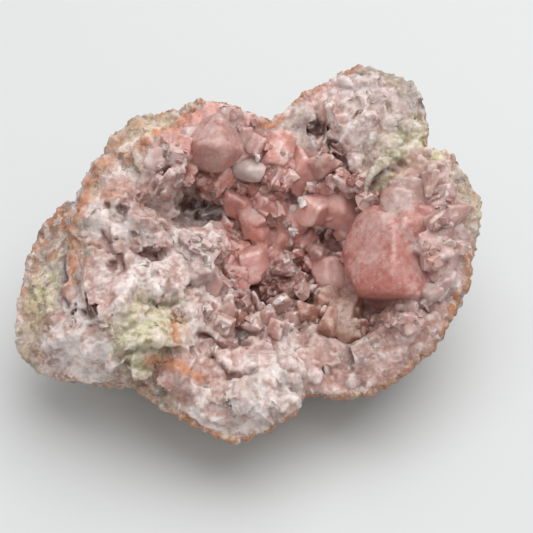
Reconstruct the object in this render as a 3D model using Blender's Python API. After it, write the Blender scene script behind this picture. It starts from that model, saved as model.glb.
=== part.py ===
"""Half of a broken amethyst geode: a hollow stone nodule whose cavity is lined with blocky pink crystals.

The nodule stands on a flat spot of its underside. Its front was broken open, and the break leans back, so
shapes on it are given in the break's own frame, in millimetres: u runs to the right, v runs up the lean and
w comes straight out of the break. The frame fans out with depth, so that straight lines into the hollow
spread a little. The model itself is in metres, +Z up, with the flat spot at Z = 0.
"""

import math
import random

import bmesh
import bpy
from mathutils import Matrix, Vector, noise

MM = 0.001

# Driving dimensions, in millimetres and degrees.
BREAK_ELEVATION = 50.0  # how far above the horizon the break faces
BREAK_HEIGHT = 38.0  # the break frame's origin above the flat spot
FAN_CENTRE = (3.84, -3.84)  # u and v here stay put at every depth
FAN_DEPTH = 344.0  # the depth at which the frame would be twice as wide
UNDERSIDE_DEPTH = 4.0  # how far the rounded underside would reach below the flat spot
RIM_SEGMENTS = 84
BREAK_RINGS = 16
SKIN_RINGS = 9
FRONT_SWEEP = 1.7  # the power of the curve by which the underside sweeps in under the front edge
BACK_SWELL = 0.07  # how far the upright back wall swells beyond the rim, as a share of its reach
RIM_AVERAGE = 7  # rim segments on each side over which the outer skin evens out the broken outline
RIM_FADE = 2.5  # the evening out is complete at 1/2.5 of the way from the rim to the middle underneath
RIM_EVEN_IN_FRONT = 0.4  # in front the broken outline is evened out only by this share
RIM_SHARPNESS = 10  # the power by which the broken face turns to the rim's own height near the edge
SKIN_LUMPS = 2.4  # the height of the outer skin's lumps
SKIN_LUMP_SCALE = 15.0
SKIN_LUMP_LEAN = 0.6  # the skin's lumps push down by this share of how far they push outwards
BREAK_LUMPS = 1.6  # the height of the broken face's lumps
BREAK_LUMP_SCALE = 6.0
CRUST_GAP = 0.35  # between the stone and the crystal crust
CRUST_THICKNESS = 2.8
CRUST_ROOT = 4.2  # how far the crust reaches into the stone's surface before the stone is cut out of it
CRUST_LUMP_SCALE = 7.0
CRUST_SEGMENTS = 32
CRUST_RINGS = 7
SEED = 5

# The outer edge of the break, anticlockwise from the right: u, v, w.
RIM = (
    (54.9, 8.6, -6), (53.0, 13.5, -8), (50.2, 18.1, -8), (47.0, 23.3, -8), (41.6, 23.5, -9),
    (41.2, 27.9, -12), (41.4, 33.0, -14), (40.0, 36.7, -16), (36.7, 40.0, -17), (29.5, 41.9, -19),
    (27.2, 44.0, -20), (23.7, 42.6, -20), (19.8, 39.3, -19), (11.2, 34.9, -18), (7.7, 32.1, -18),
    (4.7, 30.0, -19), (2.3, 31.4, -17), (-1.2, 33.5, -14), (-8.6, 34.6, -12), (-15.6, 33.7, -12),
    (-18.1, 32.1, -13), (-25.1, 30.7, -13), (-29.1, 28.6, -13), (-33.0, 22.8, -12), (-37.7, 17.4, -9),
    (-39.5, 13.5, -8), (-41.4, 10.0, -7), (-44.2, 10.2, -10), (-46.5, 8.1, -10), (-51.2, 0.5, -9),
    (-54.2, -9.3, -7), (-55.1, -14.4, -5), (-54.9, -19.8, -3), (-53.0, -24.0, -1), (-49.3, -27.7, 1),
    (-43.7, -29.5, 3), (-32.1, -28.6, 6), (-27.9, -30.2, 7), (-25.6, -33.3, 8), (-19.3, -38.6, 9),
    (-14.0, -40.9, 10), (-8.8, -43.3, 11), (-2.3, -44.2, 11), (3.5, -42.8, 11), (8.8, -40.2, 11),
    (12.1, -37.7, 10), (12.2, -32.6, 4), (15.8, -33.0, 4), (19.1, -34.4, 4), (28.4, -33.0, 4),
    (34.9, -29.8, 3), (38.4, -26.0, 2), (41.4, -22.1, 1), (45.3, -19.1, 0), (47.2, -12.1, -2),
    (49.8, -3.5, -4), (51.9, 3.5, -5), (53.3, 7.2, -6),
)

# Spot heights across the break, by what lies there: u, v, w.
SPOTS = {
    "cavity floor": (
        (11, 2, -26), (20, 6, -24), (18, -6, -20), (8, -10, -17), (0, 2, -23), (3, 12, -24),
        (12, 14, -24), (-6, 10, -22), (-3, -3, -18), (28, -12, -12), (12, -19, -9),
    ),
    "dark recess under the left brow": ((-14, 10, -21), (-12, 17, -16)),
    "notch at the back": ((5, 25, -19), (10, 27, -19), (-3, 23, -14)),
    "left brow": ((-10, 27, -8), (-20, 22, -7), (-26, 18, -6), (-34, 18, -6), (-38, 12, -2)),
    "right slab": (
        (20, 32, -15), (28, 34, -13), (35, 32, -11), (30, 24, -9), (24, 21, -13), (36, 22, -7),
        (23, 14, -20),
    ),
    "right shoulder": (
        (36, 14, -6), (44, 16, -4), (48, 10, -3), (45, 3, -1), (36, 6, -4), (30, 0, -9),
        (33, -6, -6), (41, -6, -1), (44, -11, -1), (36, -16, -3), (26, -18, -8),
    ),
    "right lip": ((30, -25, 2), (22, -27, 1), (16, -28, 1), (38, -21, 2), (20, -20, -6)),
    "front lobe": (
        (10, -30, 8), (4, -26, 3), (-2, -20, -5), (0, -34, 14), (8, -37, 14), (-10, -36, 13),
        (-6, -28, 7), (-10, -22, 3), (-14, -30, 11), (-18, -35, 11),
    ),
    "left table": (
        (-16, -14, 4), (-20, -22, 11), (-26, -20, 15), (-30, -14, 15), (-24, -8, 9), (-34, -22, 13),
        (-12, -8, -4), (-16, -1, -3), (-24, 2, 3), (-32, -2, 9), (-36, 6, 4), (-30, 10, 0),
        (-22, 12, -8), (-36, -8, 10),
    ),
    "left flank": ((-42, -4, 3), (-44, -14, 6), (-46, -22, 5), (-48, 0, -4), (-50, -10, -1)),
}
SPOT_REACH = 2.6  # a spot's height holds about this far round it

# The edge of the crystal crust, anticlockwise from the right: u, v.
CRUST_CENTRE = (8.0, 3.0)
CRUST_EDGE = (
    (45, 5), (41, 12), (33, 12), (26, 16), (21, 24), (14, 27), (8, 26), (2, 29), (-4, 31), (-12, 31),
    (-20, 28), (-23, 21), (-21, 13), (-18, 4), (-15, -4), (-13, -13), (-9, -20), (0, -23), (10, -24),
    (20, -22), (30, -19), (38, -18), (42, -8),
)

# The large crystals: u, v, across, length, lean to the right and up (degrees), kind.
CRYSTALS = (
    (-10.0, 25.5, 11.5, 13, -5, 5, "block"), (-21.0, 20.5, 8, 9, -10, 5, "block"),
    (-15.0, 18.0, 7, 9, 10, -35, "point"), (-3.0, 29.0, 8, 9, 20, 20, "block"),
    (-13.0, 31.0, 6, 6, -15, 25, "block"), (1.5, 23.5, 7, 8, 10, 0, "block"),
    (-3.0, 19.0, 4.5, 10, 60, -10, "point"), (-9.5, 13.5, 5, 11, -5, 30, "point"),
    (3.5, 16.0, 5, 6, 0, 0, "point"), (-3.5, 11.0, 7, 11, 15, 5, "block"),
    (0.5, 7.5, 6, 9, 10, -10, "block"), (0.5, -2.5, 9, 14, 0, -20, "block"),
    (2.0, 4.0, 6.5, 10, -20, 10, "point"), (12.0, 18.0, 9.5, 12, 5, 5, "block"),
    (17.5, 20.0, 6.5, 12, 10, 20, "point"), (11.5, 8.5, 9, 9, -10, 5, "block"),
    (22.0, 10.5, 11, 13, 10, 0, "block"), (12.5, 3.0, 5.5, 12, 5, -10, "block"),
    (7.0, 1.0, 6, 10, -10, 10, "block"), (15.5, -1.0, 5.5, 12, 15, -15, "point"),
    (9.0, -4.5, 5, 11, -10, -20, "point"), (19.5, -6.0, 9, 11, -15, 0, "block"),
    (31.5, -6.0, 16, 13, -8, -8, "block"), (37.5, 0.0, 14, 10, 5, 5, "block"),
    (38.0, -9.0, 12, 9, 12, -12, "block"), (33.0, 7.5, 13, 9, -5, 10, "block"),
    (43.5, 3.5, 10, 8, 15, 0, "block"), (20.5, -15.0, 10, 11, -10, 10, "block"),
    (27.5, -17.0, 6, 9, -20, 20, "point"), (16.5, -22.5, 8, 7, 0, -10, "block"),
    (-8.5, -9.5, 9, 9, 15, 5, "block"), (-10.0, -15.0, 8, 8, 20, 0, "block"),
    (-6.0, -16.5, 5, 11, 15, 30, "point"), (1.5, -16.0, 6.5, 9, 0, 10, "point"),
    (8.0, -15.5, 6, 9, 5, 15, "point"), (-5.0, -21.0, 7, 7, 0, -10, "block"),
    (-17.0, 5.5, 7, 6, 10, 10, "block"), (41.0, -11.0, 9, 7, 10, -15, "block"),
)
BLOCK_SIDE = 0.82  # a block's side, as a share of the width given for it
BLOCK_UNEVEN = (0.8, 1.1)  # its sides vary by these factors
BLOCK_TIP = 28.0  # how far a block may lean off its corner, in degrees
BEVEL_FROM = 7.5  # blocks wider than this have worn edges
BEVEL = 0.09  # the worn edge, as a share of the width
POINT_FOOT = 0.42  # a point's radius at its root, its shoulder and its tip, as shares of the width
POINT_SHOULDER = 0.5
POINT_CROWN = 0.45  # the height of its pyramid
POINT_TIP = 0.14  # how much of the shoulder's width is left at the tip
POINT_SKEW = 0.12  # how far the tip is off the middle
UPRIGHT = 0.5  # a crystal grows this share along w and the rest along the surface's own direction
ROOTED = -0.08  # a crystal's middle stands this share of its length above the stone, or below it
SMALL_CRYSTALS = 42
SMALL_ACROSS = (3.4, 5.6)
SMALL_LENGTH = (1.1, 1.8)  # as a share of the width
SMALL_LEAN = 35.0
SMALL_SPACING = 4.6
SMALL_EDGE = 0.93  # they stay within this share of the crust's edge
ROOM = 0.42  # a large crystal keeps small ones this share of its width away


def break_axes():
    """The break frame's u, v and w directions in the model."""
    tilt = math.radians(BREAK_ELEVATION)
    across = Vector((1, 0, 0))
    up = Vector((0, math.sin(tilt), math.cos(tilt)))
    out = Vector((0, -math.cos(tilt), math.sin(tilt)))
    return across, up, out


def placed(u, v, w):
    """A point of the break frame, in the model, in millimetres."""
    across, up, out = break_axes()
    fan = 1.0 - w / FAN_DEPTH
    u = FAN_CENTRE[0] + (u - FAN_CENTRE[0]) * fan
    v = FAN_CENTRE[1] + (v - FAN_CENTRE[1]) * fan
    return across * u + up * v + out * w + Vector((0, 0, BREAK_HEIGHT))


def around(points, centre, angle):
    """Where the ray at this angle from the centre crosses a star-shaped edge: its distance and its height."""
    polar = []
    for point in points:
        du, dv = point[0] - centre[0], point[1] - centre[1]
        height = point[2] if len(point) > 2 else 0.0
        polar.append((math.atan2(dv, du) % math.tau, math.hypot(du, dv), height))
    polar.sort()
    angle %= math.tau
    for (a, ra, ha), (b, rb, hb) in zip(polar, polar[1:] + polar[:1]):
        span = (b - a) % math.tau
        along = (angle - a) % math.tau
        if along <= span:
            share = along / span
            return ra + (rb - ra) * share, ha + (hb - ha) * share
    raise ValueError("the edge doesn't go all the way round")


def lumps(point, scale, height):
    """Smooth lumps of about this scale, up or down by up to this height."""
    return height * noise.fractal(point / scale, 1.0, 2.0, 3)


def break_height(u, v):
    """The break's surface: w at (u, v), drawn through the spot heights and the rim."""
    total = weight = 0.0
    for spots in (*SPOTS.values(), RIM):
        for su, sv, sw in spots:
            near = 1.0 / ((u - su) ** 2 + (v - sv) ** 2 + SPOT_REACH**2) ** 2
            total += near * sw
            weight += near
    return total / weight


def break_point(ring, angle):
    """A point of the broken face: ring is 0 at its middle and 1 at the rim."""
    reach, edge = around(RIM, (0.0, 0.0), angle)
    u, v = ring * reach * math.cos(angle), ring * reach * math.sin(angle)
    inner = break_height(u, v) + lumps(Vector((u, v, 0)), BREAK_LUMP_SCALE, BREAK_LUMPS)
    share = ring**RIM_SHARPNESS
    return placed(u, v, inner * (1 - share) + edge * share)


def smooth_step(x):
    """0 below 0, 1 above 1, and a smooth rise between them."""
    x = max(0.0, min(1.0, x))
    return x * x * (3 - 2 * x)


def skin_point(ring, angle):
    """A point of the weathered outside: ring is 0 at the rim and 1 at the middle of the underside."""
    rim = break_point(1.0, angle)
    behind = smooth_step(1.0 + math.sin(math.atan2(rim.y, rim.x)))
    step = math.tau / RIM_SEGMENTS
    near = [break_point(1.0, angle + i * step) for i in range(-RIM_AVERAGE, RIM_AVERAGE + 1)]
    even = sum(near, Vector()) / len(near)
    evenness = RIM_EVEN_IN_FRONT + (1.0 - RIM_EVEN_IN_FRONT) * behind
    rim = rim.lerp(even, smooth_step(RIM_FADE * ring) * evenness)

    low = -UNDERSIDE_DEPTH
    sweep_in, sweep_down = 1.0 - ring, (1.0 - ring) ** FRONT_SWEEP
    quarter = ring * math.pi / 2
    round_in = math.cos(quarter) * (1.0 + BACK_SWELL * math.sin(math.pi * ring))
    round_down = 1.0 - math.sin(quarter)
    reach = sweep_in + (round_in - sweep_in) * behind
    drop = sweep_down + (round_down - sweep_down) * behind
    point = Vector((rim.x * reach, rim.y * reach, low + (rim.z - low) * drop))
    outward = Vector((rim.x, rim.y, 0)).normalized() + Vector((0, 0, -SKIN_LUMP_LEAN))
    return point + outward * lumps(point, SKIN_LUMP_SCALE, SKIN_LUMPS) * math.sin(math.pi * ring)


def new_object(name, bm, material):
    """Turns a bmesh in millimetres into an object in metres."""
    bmesh.ops.recalc_face_normals(bm, faces=bm.faces)
    bmesh.ops.scale(bm, vec=(MM, MM, MM), verts=bm.verts)
    mesh = bpy.data.meshes.new(name)
    bm.to_mesh(mesh)
    bm.free()
    mesh.materials.append(material)
    obj = bpy.data.objects.new(name, mesh)
    bpy.context.scene.collection.objects.link(obj)
    return obj


def new_material(name, colour, roughness):
    """A plain surface of one colour."""
    material = bpy.data.materials.new(name)
    material.use_nodes = True
    shader = material.node_tree.nodes["Principled BSDF"]
    shader.inputs["Base Color"].default_value = (*colour, 1.0)
    shader.inputs["Roughness"].default_value = roughness
    shader.inputs["Metallic"].default_value = 0.0
    return material


def stone():
    """The nodule: a ball whose front is pressed in to the broken face and whose back is the outer skin."""
    bm = bmesh.new()
    rings = BREAK_RINGS + SKIN_RINGS
    bmesh.ops.create_uvsphere(bm, u_segments=RIM_SEGMENTS, v_segments=rings, radius=1.0)
    for vertex in bm.verts:
        angle = math.atan2(vertex.co.y, vertex.co.x)
        ring = round(math.acos(max(-1.0, min(1.0, vertex.co.z))) / math.pi * rings)
        if ring <= BREAK_RINGS:
            vertex.co = break_point(ring / BREAK_RINGS, angle)
        else:
            vertex.co = skin_point((ring - BREAK_RINGS) / SKIN_RINGS, angle)
    cut = bmesh.ops.bisect_plane(
        bm,
        geom=bm.verts[:] + bm.edges[:] + bm.faces[:],
        plane_co=(0, 0, 0),
        plane_no=(0, 0, -1),
        clear_outer=True,
    )
    edges = [piece for piece in cut["geom_cut"] if isinstance(piece, bmesh.types.BMEdge)]
    bmesh.ops.contextual_create(bm, geom=edges)
    bmesh.ops.triangulate(bm, faces=[face for face in bm.faces if len(face.verts) == 4])
    return bm


def swollen(bm, by):
    """A copy of a closed shape with every face moved out by about this much."""
    copy = bm.copy()
    bmesh.ops.recalc_face_normals(copy, faces=copy.faces)
    copy.normal_update()
    for vertex in copy.verts:
        vertex.co += vertex.normal * by * vertex.calc_shell_factor()
    return copy


def lining():
    """The sheet that carries the crystals, thick in the hollow and thin at its edge, let into the stone."""
    bm = bmesh.new()
    bmesh.ops.create_uvsphere(bm, u_segments=CRUST_SEGMENTS, v_segments=2 * CRUST_RINGS, radius=1.0)
    for vertex in bm.verts:
        angle = math.atan2(vertex.co.y, vertex.co.x)
        ring = math.acos(max(-1.0, min(1.0, vertex.co.z))) / math.pi * 2 * CRUST_RINGS
        front = ring <= CRUST_RINGS
        share = (ring if front else 2 * CRUST_RINGS - ring) / CRUST_RINGS
        reach, _ = around(CRUST_EDGE, CRUST_CENTRE, angle)
        u = CRUST_CENTRE[0] + share * reach * math.cos(angle)
        v = CRUST_CENTRE[1] + share * reach * math.sin(angle)
        thick = CRUST_THICKNESS * (1 - share**4) if front else -CRUST_ROOT
        rough = lumps(Vector((u, v, 0)), CRUST_LUMP_SCALE, BREAK_LUMPS)
        vertex.co = placed(u, v, break_height(u, v) + thick + rough)
    return bm


def surface_normal(u, v):
    """The direction out of the break's surface at (u, v)."""
    step = 2.0
    across, up, out = break_axes()
    slope_u = (break_height(u + step, v) - break_height(u - step, v)) / (2 * step)
    slope_v = (break_height(u, v + step) - break_height(u, v - step)) / (2 * step)
    return (out - across * slope_u - up * slope_v).normalized()


def block(bm, across, length, rng):
    """Adds a blocky crystal: a skewed cube standing on a corner, its edges worn if it is large."""
    made = bmesh.ops.create_cube(bm, size=1.0)["verts"]
    sides = Vector([rng.uniform(*BLOCK_UNEVEN) for _ in range(3)]) * across * BLOCK_SIDE
    bmesh.ops.scale(bm, vec=sides, verts=made)
    if across > BEVEL_FROM:
        edges = list({edge for vertex in made for edge in vertex.link_edges})
        bevel = bmesh.ops.bevel(
            bm, geom=edges, offset=across * BEVEL, segments=1, affect="EDGES", profile=0.5, material=-1
        )
        made = list({vertex for face in bevel["faces"] for vertex in face.verts})
    upright = Vector((1, 1, 1)).rotation_difference(Vector((0, 0, 1))).to_matrix().to_4x4()
    tip = Matrix.Rotation(math.radians(rng.uniform(-BLOCK_TIP, BLOCK_TIP)), 4, "X")
    stretch = Matrix.Diagonal((1, 1, max(1.0, BLOCK_UNEVEN[0] * length / across), 1))
    bmesh.ops.transform(bm, matrix=stretch @ tip @ upright, verts=made)
    return made


def point(bm, across, length, rng):
    """Adds a six-sided crystal that ends in a low, uneven pyramid."""
    foot, shoulder = across * POINT_FOOT, across * POINT_SHOULDER
    made = bmesh.ops.create_cone(
        bm, cap_ends=True, segments=6, radius1=foot, radius2=shoulder, depth=length
    )["verts"]
    top_verts = {vertex for vertex in made if vertex.co.z > 0}
    top = next(face for vertex in top_verts for face in vertex.link_faces if set(face.verts) <= top_verts)
    crown = bmesh.ops.extrude_discrete_faces(bm, faces=[top])["faces"][0].verts[:]
    shift = Vector((rng.uniform(-POINT_SKEW, POINT_SKEW), rng.uniform(-POINT_SKEW, POINT_SKEW), 0)) * across
    for vertex in crown:
        x, y, z = vertex.co
        vertex.co = Vector((x * POINT_TIP, y * POINT_TIP, z + across * POINT_CROWN)) + shift
    return list({*made, *crown})


def add_crystal(bm, u, v, across, length, lean, kind, rng):
    """Adds one crystal rooted in the lining, growing between the surface's direction and w."""
    made = block(bm, across, length, rng) if kind == "block" else point(bm, across, length, rng)
    across_axis, up_axis, out_axis = break_axes()
    lean_right, lean_up = (math.tan(math.radians(angle)) for angle in lean)
    direction = surface_normal(u, v) * (1.0 - UPRIGHT) + out_axis * UPRIGHT
    direction = (direction + across_axis * lean_right + up_axis * lean_up).normalized()
    turn = direction.to_track_quat("Z", "Y").to_matrix().to_4x4()
    spin = Matrix.Rotation(rng.uniform(0, math.tau), 4, "Z")
    root = placed(u, v, break_height(u, v)) + direction * (length * ROOTED)
    bmesh.ops.transform(bm, matrix=Matrix.Translation(root) @ turn @ spin, verts=made)


def crystals():
    """All the crystals of the crust, as solids that run into each other."""
    rng = random.Random(SEED)
    bm = bmesh.new()
    taken = []
    for u, v, across, length, right, up, kind in CRYSTALS:
        add_crystal(bm, u, v, across, length, (right, up), kind, rng)
        taken.append((u, v, across * ROOM))
    made = 0
    while made < SMALL_CRYSTALS:
        angle, share = rng.uniform(0, math.tau), math.sqrt(rng.random()) * SMALL_EDGE
        reach, _ = around(CRUST_EDGE, CRUST_CENTRE, angle)
        u = CRUST_CENTRE[0] + share * reach * math.cos(angle)
        v = CRUST_CENTRE[1] + share * reach * math.sin(angle)
        if any(math.hypot(u - tu, v - tv) < max(room, SMALL_SPACING) for tu, tv, room in taken):
            continue
        across = rng.uniform(*SMALL_ACROSS)
        lean = (rng.uniform(-SMALL_LEAN, SMALL_LEAN), rng.uniform(-SMALL_LEAN, SMALL_LEAN))
        kind = rng.choice(("block", "point"))
        add_crystal(bm, u, v, across, across * rng.uniform(*SMALL_LENGTH), lean, kind, rng)
        taken.append((u, v, 0.0))
        made += 1
    return bm


def largest_piece(obj):
    """Applies the object's modifiers and keeps its largest connected piece, dropping sealed voids."""
    graph = bpy.context.evaluated_depsgraph_get()
    mesh = bpy.data.meshes.new_from_object(obj.evaluated_get(graph))
    obj.modifiers.clear()
    bm = bmesh.new()
    bm.from_mesh(mesh)
    bmesh.ops.triangulate(bm, faces=bm.faces)
    left, pieces = set(bm.faces), []
    while left:
        found, edge = set(), [next(iter(left))]
        while edge:
            face = edge.pop()
            if face not in found:
                found.add(face)
                shared = [e for e in face.edges if len(e.link_faces) == 2]
                edge.extend(f for e in shared for f in e.link_faces if f not in found)
        left -= found
        pieces.append(found)
    keep = max(pieces, key=len)
    bmesh.ops.delete(bm, geom=[f for f in bm.faces if f not in keep], context="FACES")
    bm.to_mesh(mesh)
    bm.free()
    obj.data = mesh


def combine(obj, other, operation):
    """Adds a Boolean of another object, which is then only a tool."""
    modifier = obj.modifiers.new(other.name, "BOOLEAN")
    modifier.operation = operation
    modifier.solver = "EXACT"
    modifier.use_self = True
    modifier.object = other
    other.hide_render = True
    other.display_type = "WIRE"


def build():
    """Makes the stone and its crystal crust."""
    for obj in list(bpy.data.objects):
        bpy.data.objects.remove(obj)
    rind = new_material("weathered_stone", (0.56, 0.42, 0.36), 0.9)
    pink = new_material("pink_amethyst", (0.68, 0.33, 0.30), 0.35)

    nodule = stone()
    clearance = new_object("crust_clearance", swollen(nodule, CRUST_GAP), rind)
    new_object("stone_shell", nodule, rind)
    crust = new_object("crystal_crust", lining(), pink)
    points = new_object("crystal_points", crystals(), pink)
    combine(crust, points, "UNION")
    combine(crust, clearance, "DIFFERENCE")
    bpy.context.view_layer.update()
    largest_piece(crust)


build()
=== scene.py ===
"""Dresses the pink amethyst geode: its weathered rind, the broken quartz and the crystals in its hollow.

Places on the broken face are given in its own frame, in millimetres: u to the right, v up its lean and w
straight out of it. Everything else is in metres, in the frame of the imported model.
"""

from __future__ import annotations

import logging
import math
import random
from collections.abc import Callable, Iterable, Iterator, Sequence
from dataclasses import dataclass, field
from enum import Enum

import bmesh
import bpy
import numpy as np
from mathutils import Matrix, Vector, noise
from mathutils.bvhtree import BVHTree

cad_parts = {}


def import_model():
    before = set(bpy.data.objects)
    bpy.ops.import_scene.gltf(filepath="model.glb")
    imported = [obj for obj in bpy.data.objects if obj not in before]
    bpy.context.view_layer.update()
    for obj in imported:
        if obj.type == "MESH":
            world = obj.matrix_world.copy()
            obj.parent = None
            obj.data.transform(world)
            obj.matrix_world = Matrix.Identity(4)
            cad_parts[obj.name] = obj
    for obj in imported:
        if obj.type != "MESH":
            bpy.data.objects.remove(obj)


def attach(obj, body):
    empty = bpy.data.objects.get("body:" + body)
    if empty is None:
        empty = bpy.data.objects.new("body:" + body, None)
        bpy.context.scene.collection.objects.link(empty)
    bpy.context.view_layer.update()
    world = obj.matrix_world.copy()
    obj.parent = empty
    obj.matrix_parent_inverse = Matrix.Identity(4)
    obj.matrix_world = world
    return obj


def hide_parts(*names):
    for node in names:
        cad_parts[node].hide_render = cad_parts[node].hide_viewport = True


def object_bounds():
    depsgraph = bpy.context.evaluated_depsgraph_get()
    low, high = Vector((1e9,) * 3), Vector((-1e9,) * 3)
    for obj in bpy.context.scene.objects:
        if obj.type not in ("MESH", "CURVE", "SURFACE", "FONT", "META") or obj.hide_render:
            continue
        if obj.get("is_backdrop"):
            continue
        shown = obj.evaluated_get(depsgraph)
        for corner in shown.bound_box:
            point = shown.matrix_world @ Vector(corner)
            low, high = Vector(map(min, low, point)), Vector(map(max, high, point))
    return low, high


LOG = logging.getLogger("geode")
MM = 0.001
BODY = "root"
AXES = {"use_axis_x": True, "use_axis_y": True, "use_axis_z": True}


def linear(code: str) -> tuple[float, float, float, float]:
    """Turns an sRGB hex colour to the linear colour that a shader takes.

    Args:
        code: The colour, such as "C97F74".

    Returns:
        Red, green, blue and an alpha of 1.
    """
    channels = (int(code[i : i + 2], 16) / 255 for i in (0, 2, 4))
    return (*(c / 12.92 if c <= 0.04045 else ((c + 0.055) / 1.055) ** 2.4 for c in channels), 1.0)


def smooth_step(x: np.ndarray) -> np.ndarray:
    """Rises smoothly from 0 at 0 to 1 at 1."""
    x = np.clip(x, 0.0, 1.0)
    return x * x * (3.0 - 2.0 * x)


def fractal(points: np.ndarray, scale: float, octaves: int = 3) -> np.ndarray:
    """Smooth noise at many points, about -1 to 1.

    Args:
        points: The points, in millimetres, one a row.
        scale: The size of the largest lumps, in millimetres.
        octaves: How many finer layers it has.

    Returns:
        One value for each point.
    """
    return np.array([noise.fractal(place, 1.0, 2.0, octaves) for place in (points / scale).tolist()])


def apart(local: np.ndarray, u: float, v: float) -> np.ndarray:
    """How far each row's u and v are from a place on the broken face, in millimetres."""
    return np.hypot(local[:, 0] - u, local[:, 1] - v)


def blend(base: np.ndarray, over: np.ndarray, share: np.ndarray | float) -> np.ndarray:
    """Mixes a share of one colour into another."""
    return base + (over - base) * share


@dataclass(frozen=True)
class Relief:
    """Smooth noise of one kind.

    Attributes:
        size: The size of its largest lumps, in millimetres.
        height: How far it reaches up and down, about.
        octaves: How many finer layers it has.
        shift: Where in the noise it lies, so that two kinds don't match.
    """

    size: float
    height: float = 1.0
    octaves: int = 3
    shift: float = 0.0

    def at(self, points: np.ndarray) -> np.ndarray:
        """Its height at each point, given in millimetres, one a row."""
        return fractal(points + self.shift, self.size, self.octaves) * self.height


class Hue(Enum):
    """The colours of the specimen's minerals, and the painted light and painted shade on them, as sRGB hex.
    """

    SALMON = "DEA196"
    # The next two are salmon painted lighter: painted light on crystals that lie in shade.
    GLOW = "EFB1A5"
    DAWN = "FABCB0"
    CORE = "C88579"
    BLOOM = "C9948A"
    DEEP = "CC8377"
    ROSE = "D3ABA3"
    BLUSH = "D6BAB3"
    PETAL = "D8ADA2"
    MILK = "E0D2CC"
    FROST = "F4EAE6"
    ASH = "C4B6B6"
    PEACH = "B7826D"
    TAN = "AB7F6A"
    # Painted shade for the deepest hollows.
    GARNET = "96524B"
    LIME = "D8D2A4"
    OLIVE = "958C74"
    RUST = "D18C62"
    CORAL = "DD9A78"
    CLAY = "EDDCD3"
    GREY = "BBAFAC"
    PALE = "DFD2C8"
    UMBER = "92796B"
    OCHRE = "CDB587"
    # Dark grains, darkened further by painted shade in the recess at the top left.
    SOOT = "706766"
    SLATE = "62616B"
    # Painted shade for the holes and the grooves.
    CREVICE = "7A544D"
    DUSK = "BC9086"

    @property
    def rgb(self) -> np.ndarray:
        """Its linear red, green and blue."""
        return np.array(linear(self.value)[:3])


@dataclass(frozen=True)
class BreakFrame:
    """The frame of the broken face. It fans out with depth, as lines of sight do."""

    elevation: float = 50.0  # degrees above the horizon
    height: float = 38.0
    fan_centre: tuple[float, float] = (3.84, -3.84)
    fan_depth: float = 344.0

    @property
    def axes(self) -> np.ndarray:
        """The directions of the frame.

        Returns:
            u, v and w in the model, one a row.
        """
        tilt = math.radians(self.elevation)
        sine, cosine = math.sin(tilt), math.cos(tilt)
        return np.array([(1, 0, 0), (0, sine, cosine), (0, -cosine, sine)], float)

    @property
    def out(self) -> Vector:
        """The direction straight out of the broken face."""
        return Vector(self.axes[2])

    def place(self, u: float, v: float, w: float) -> Vector:
        """Turns a place on the broken face to a point of the model.

        Args:
            u: The place to the right, in millimetres.
            v: The place up the face.
            w: How far it is out of the face.

        Returns:
            The point, in metres.
        """
        fan = 1.0 - w / self.fan_depth
        across = self.fan_centre[0] + (u - self.fan_centre[0]) * fan
        up = self.fan_centre[1] + (v - self.fan_centre[1]) * fan
        return Vector(np.array([across, up, w]) @ self.axes + np.array([0, 0, self.height])) * MM

    def locate(self, points: np.ndarray) -> np.ndarray:
        """Turns points of the model to places on the broken face.

        Args:
            points: The points, in metres, one a row.

        Returns:
            u, v and w in millimetres, one a row.
        """
        local = (points / MM - np.array([0, 0, self.height])) @ self.axes.T
        fan = 1.0 - local[:, 2:] / self.fan_depth
        centre = np.array([self.fan_centre])
        return np.hstack([centre + (local[:, :2] - centre) / fan, local[:, 2:]])


FACE = BreakFrame()
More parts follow.
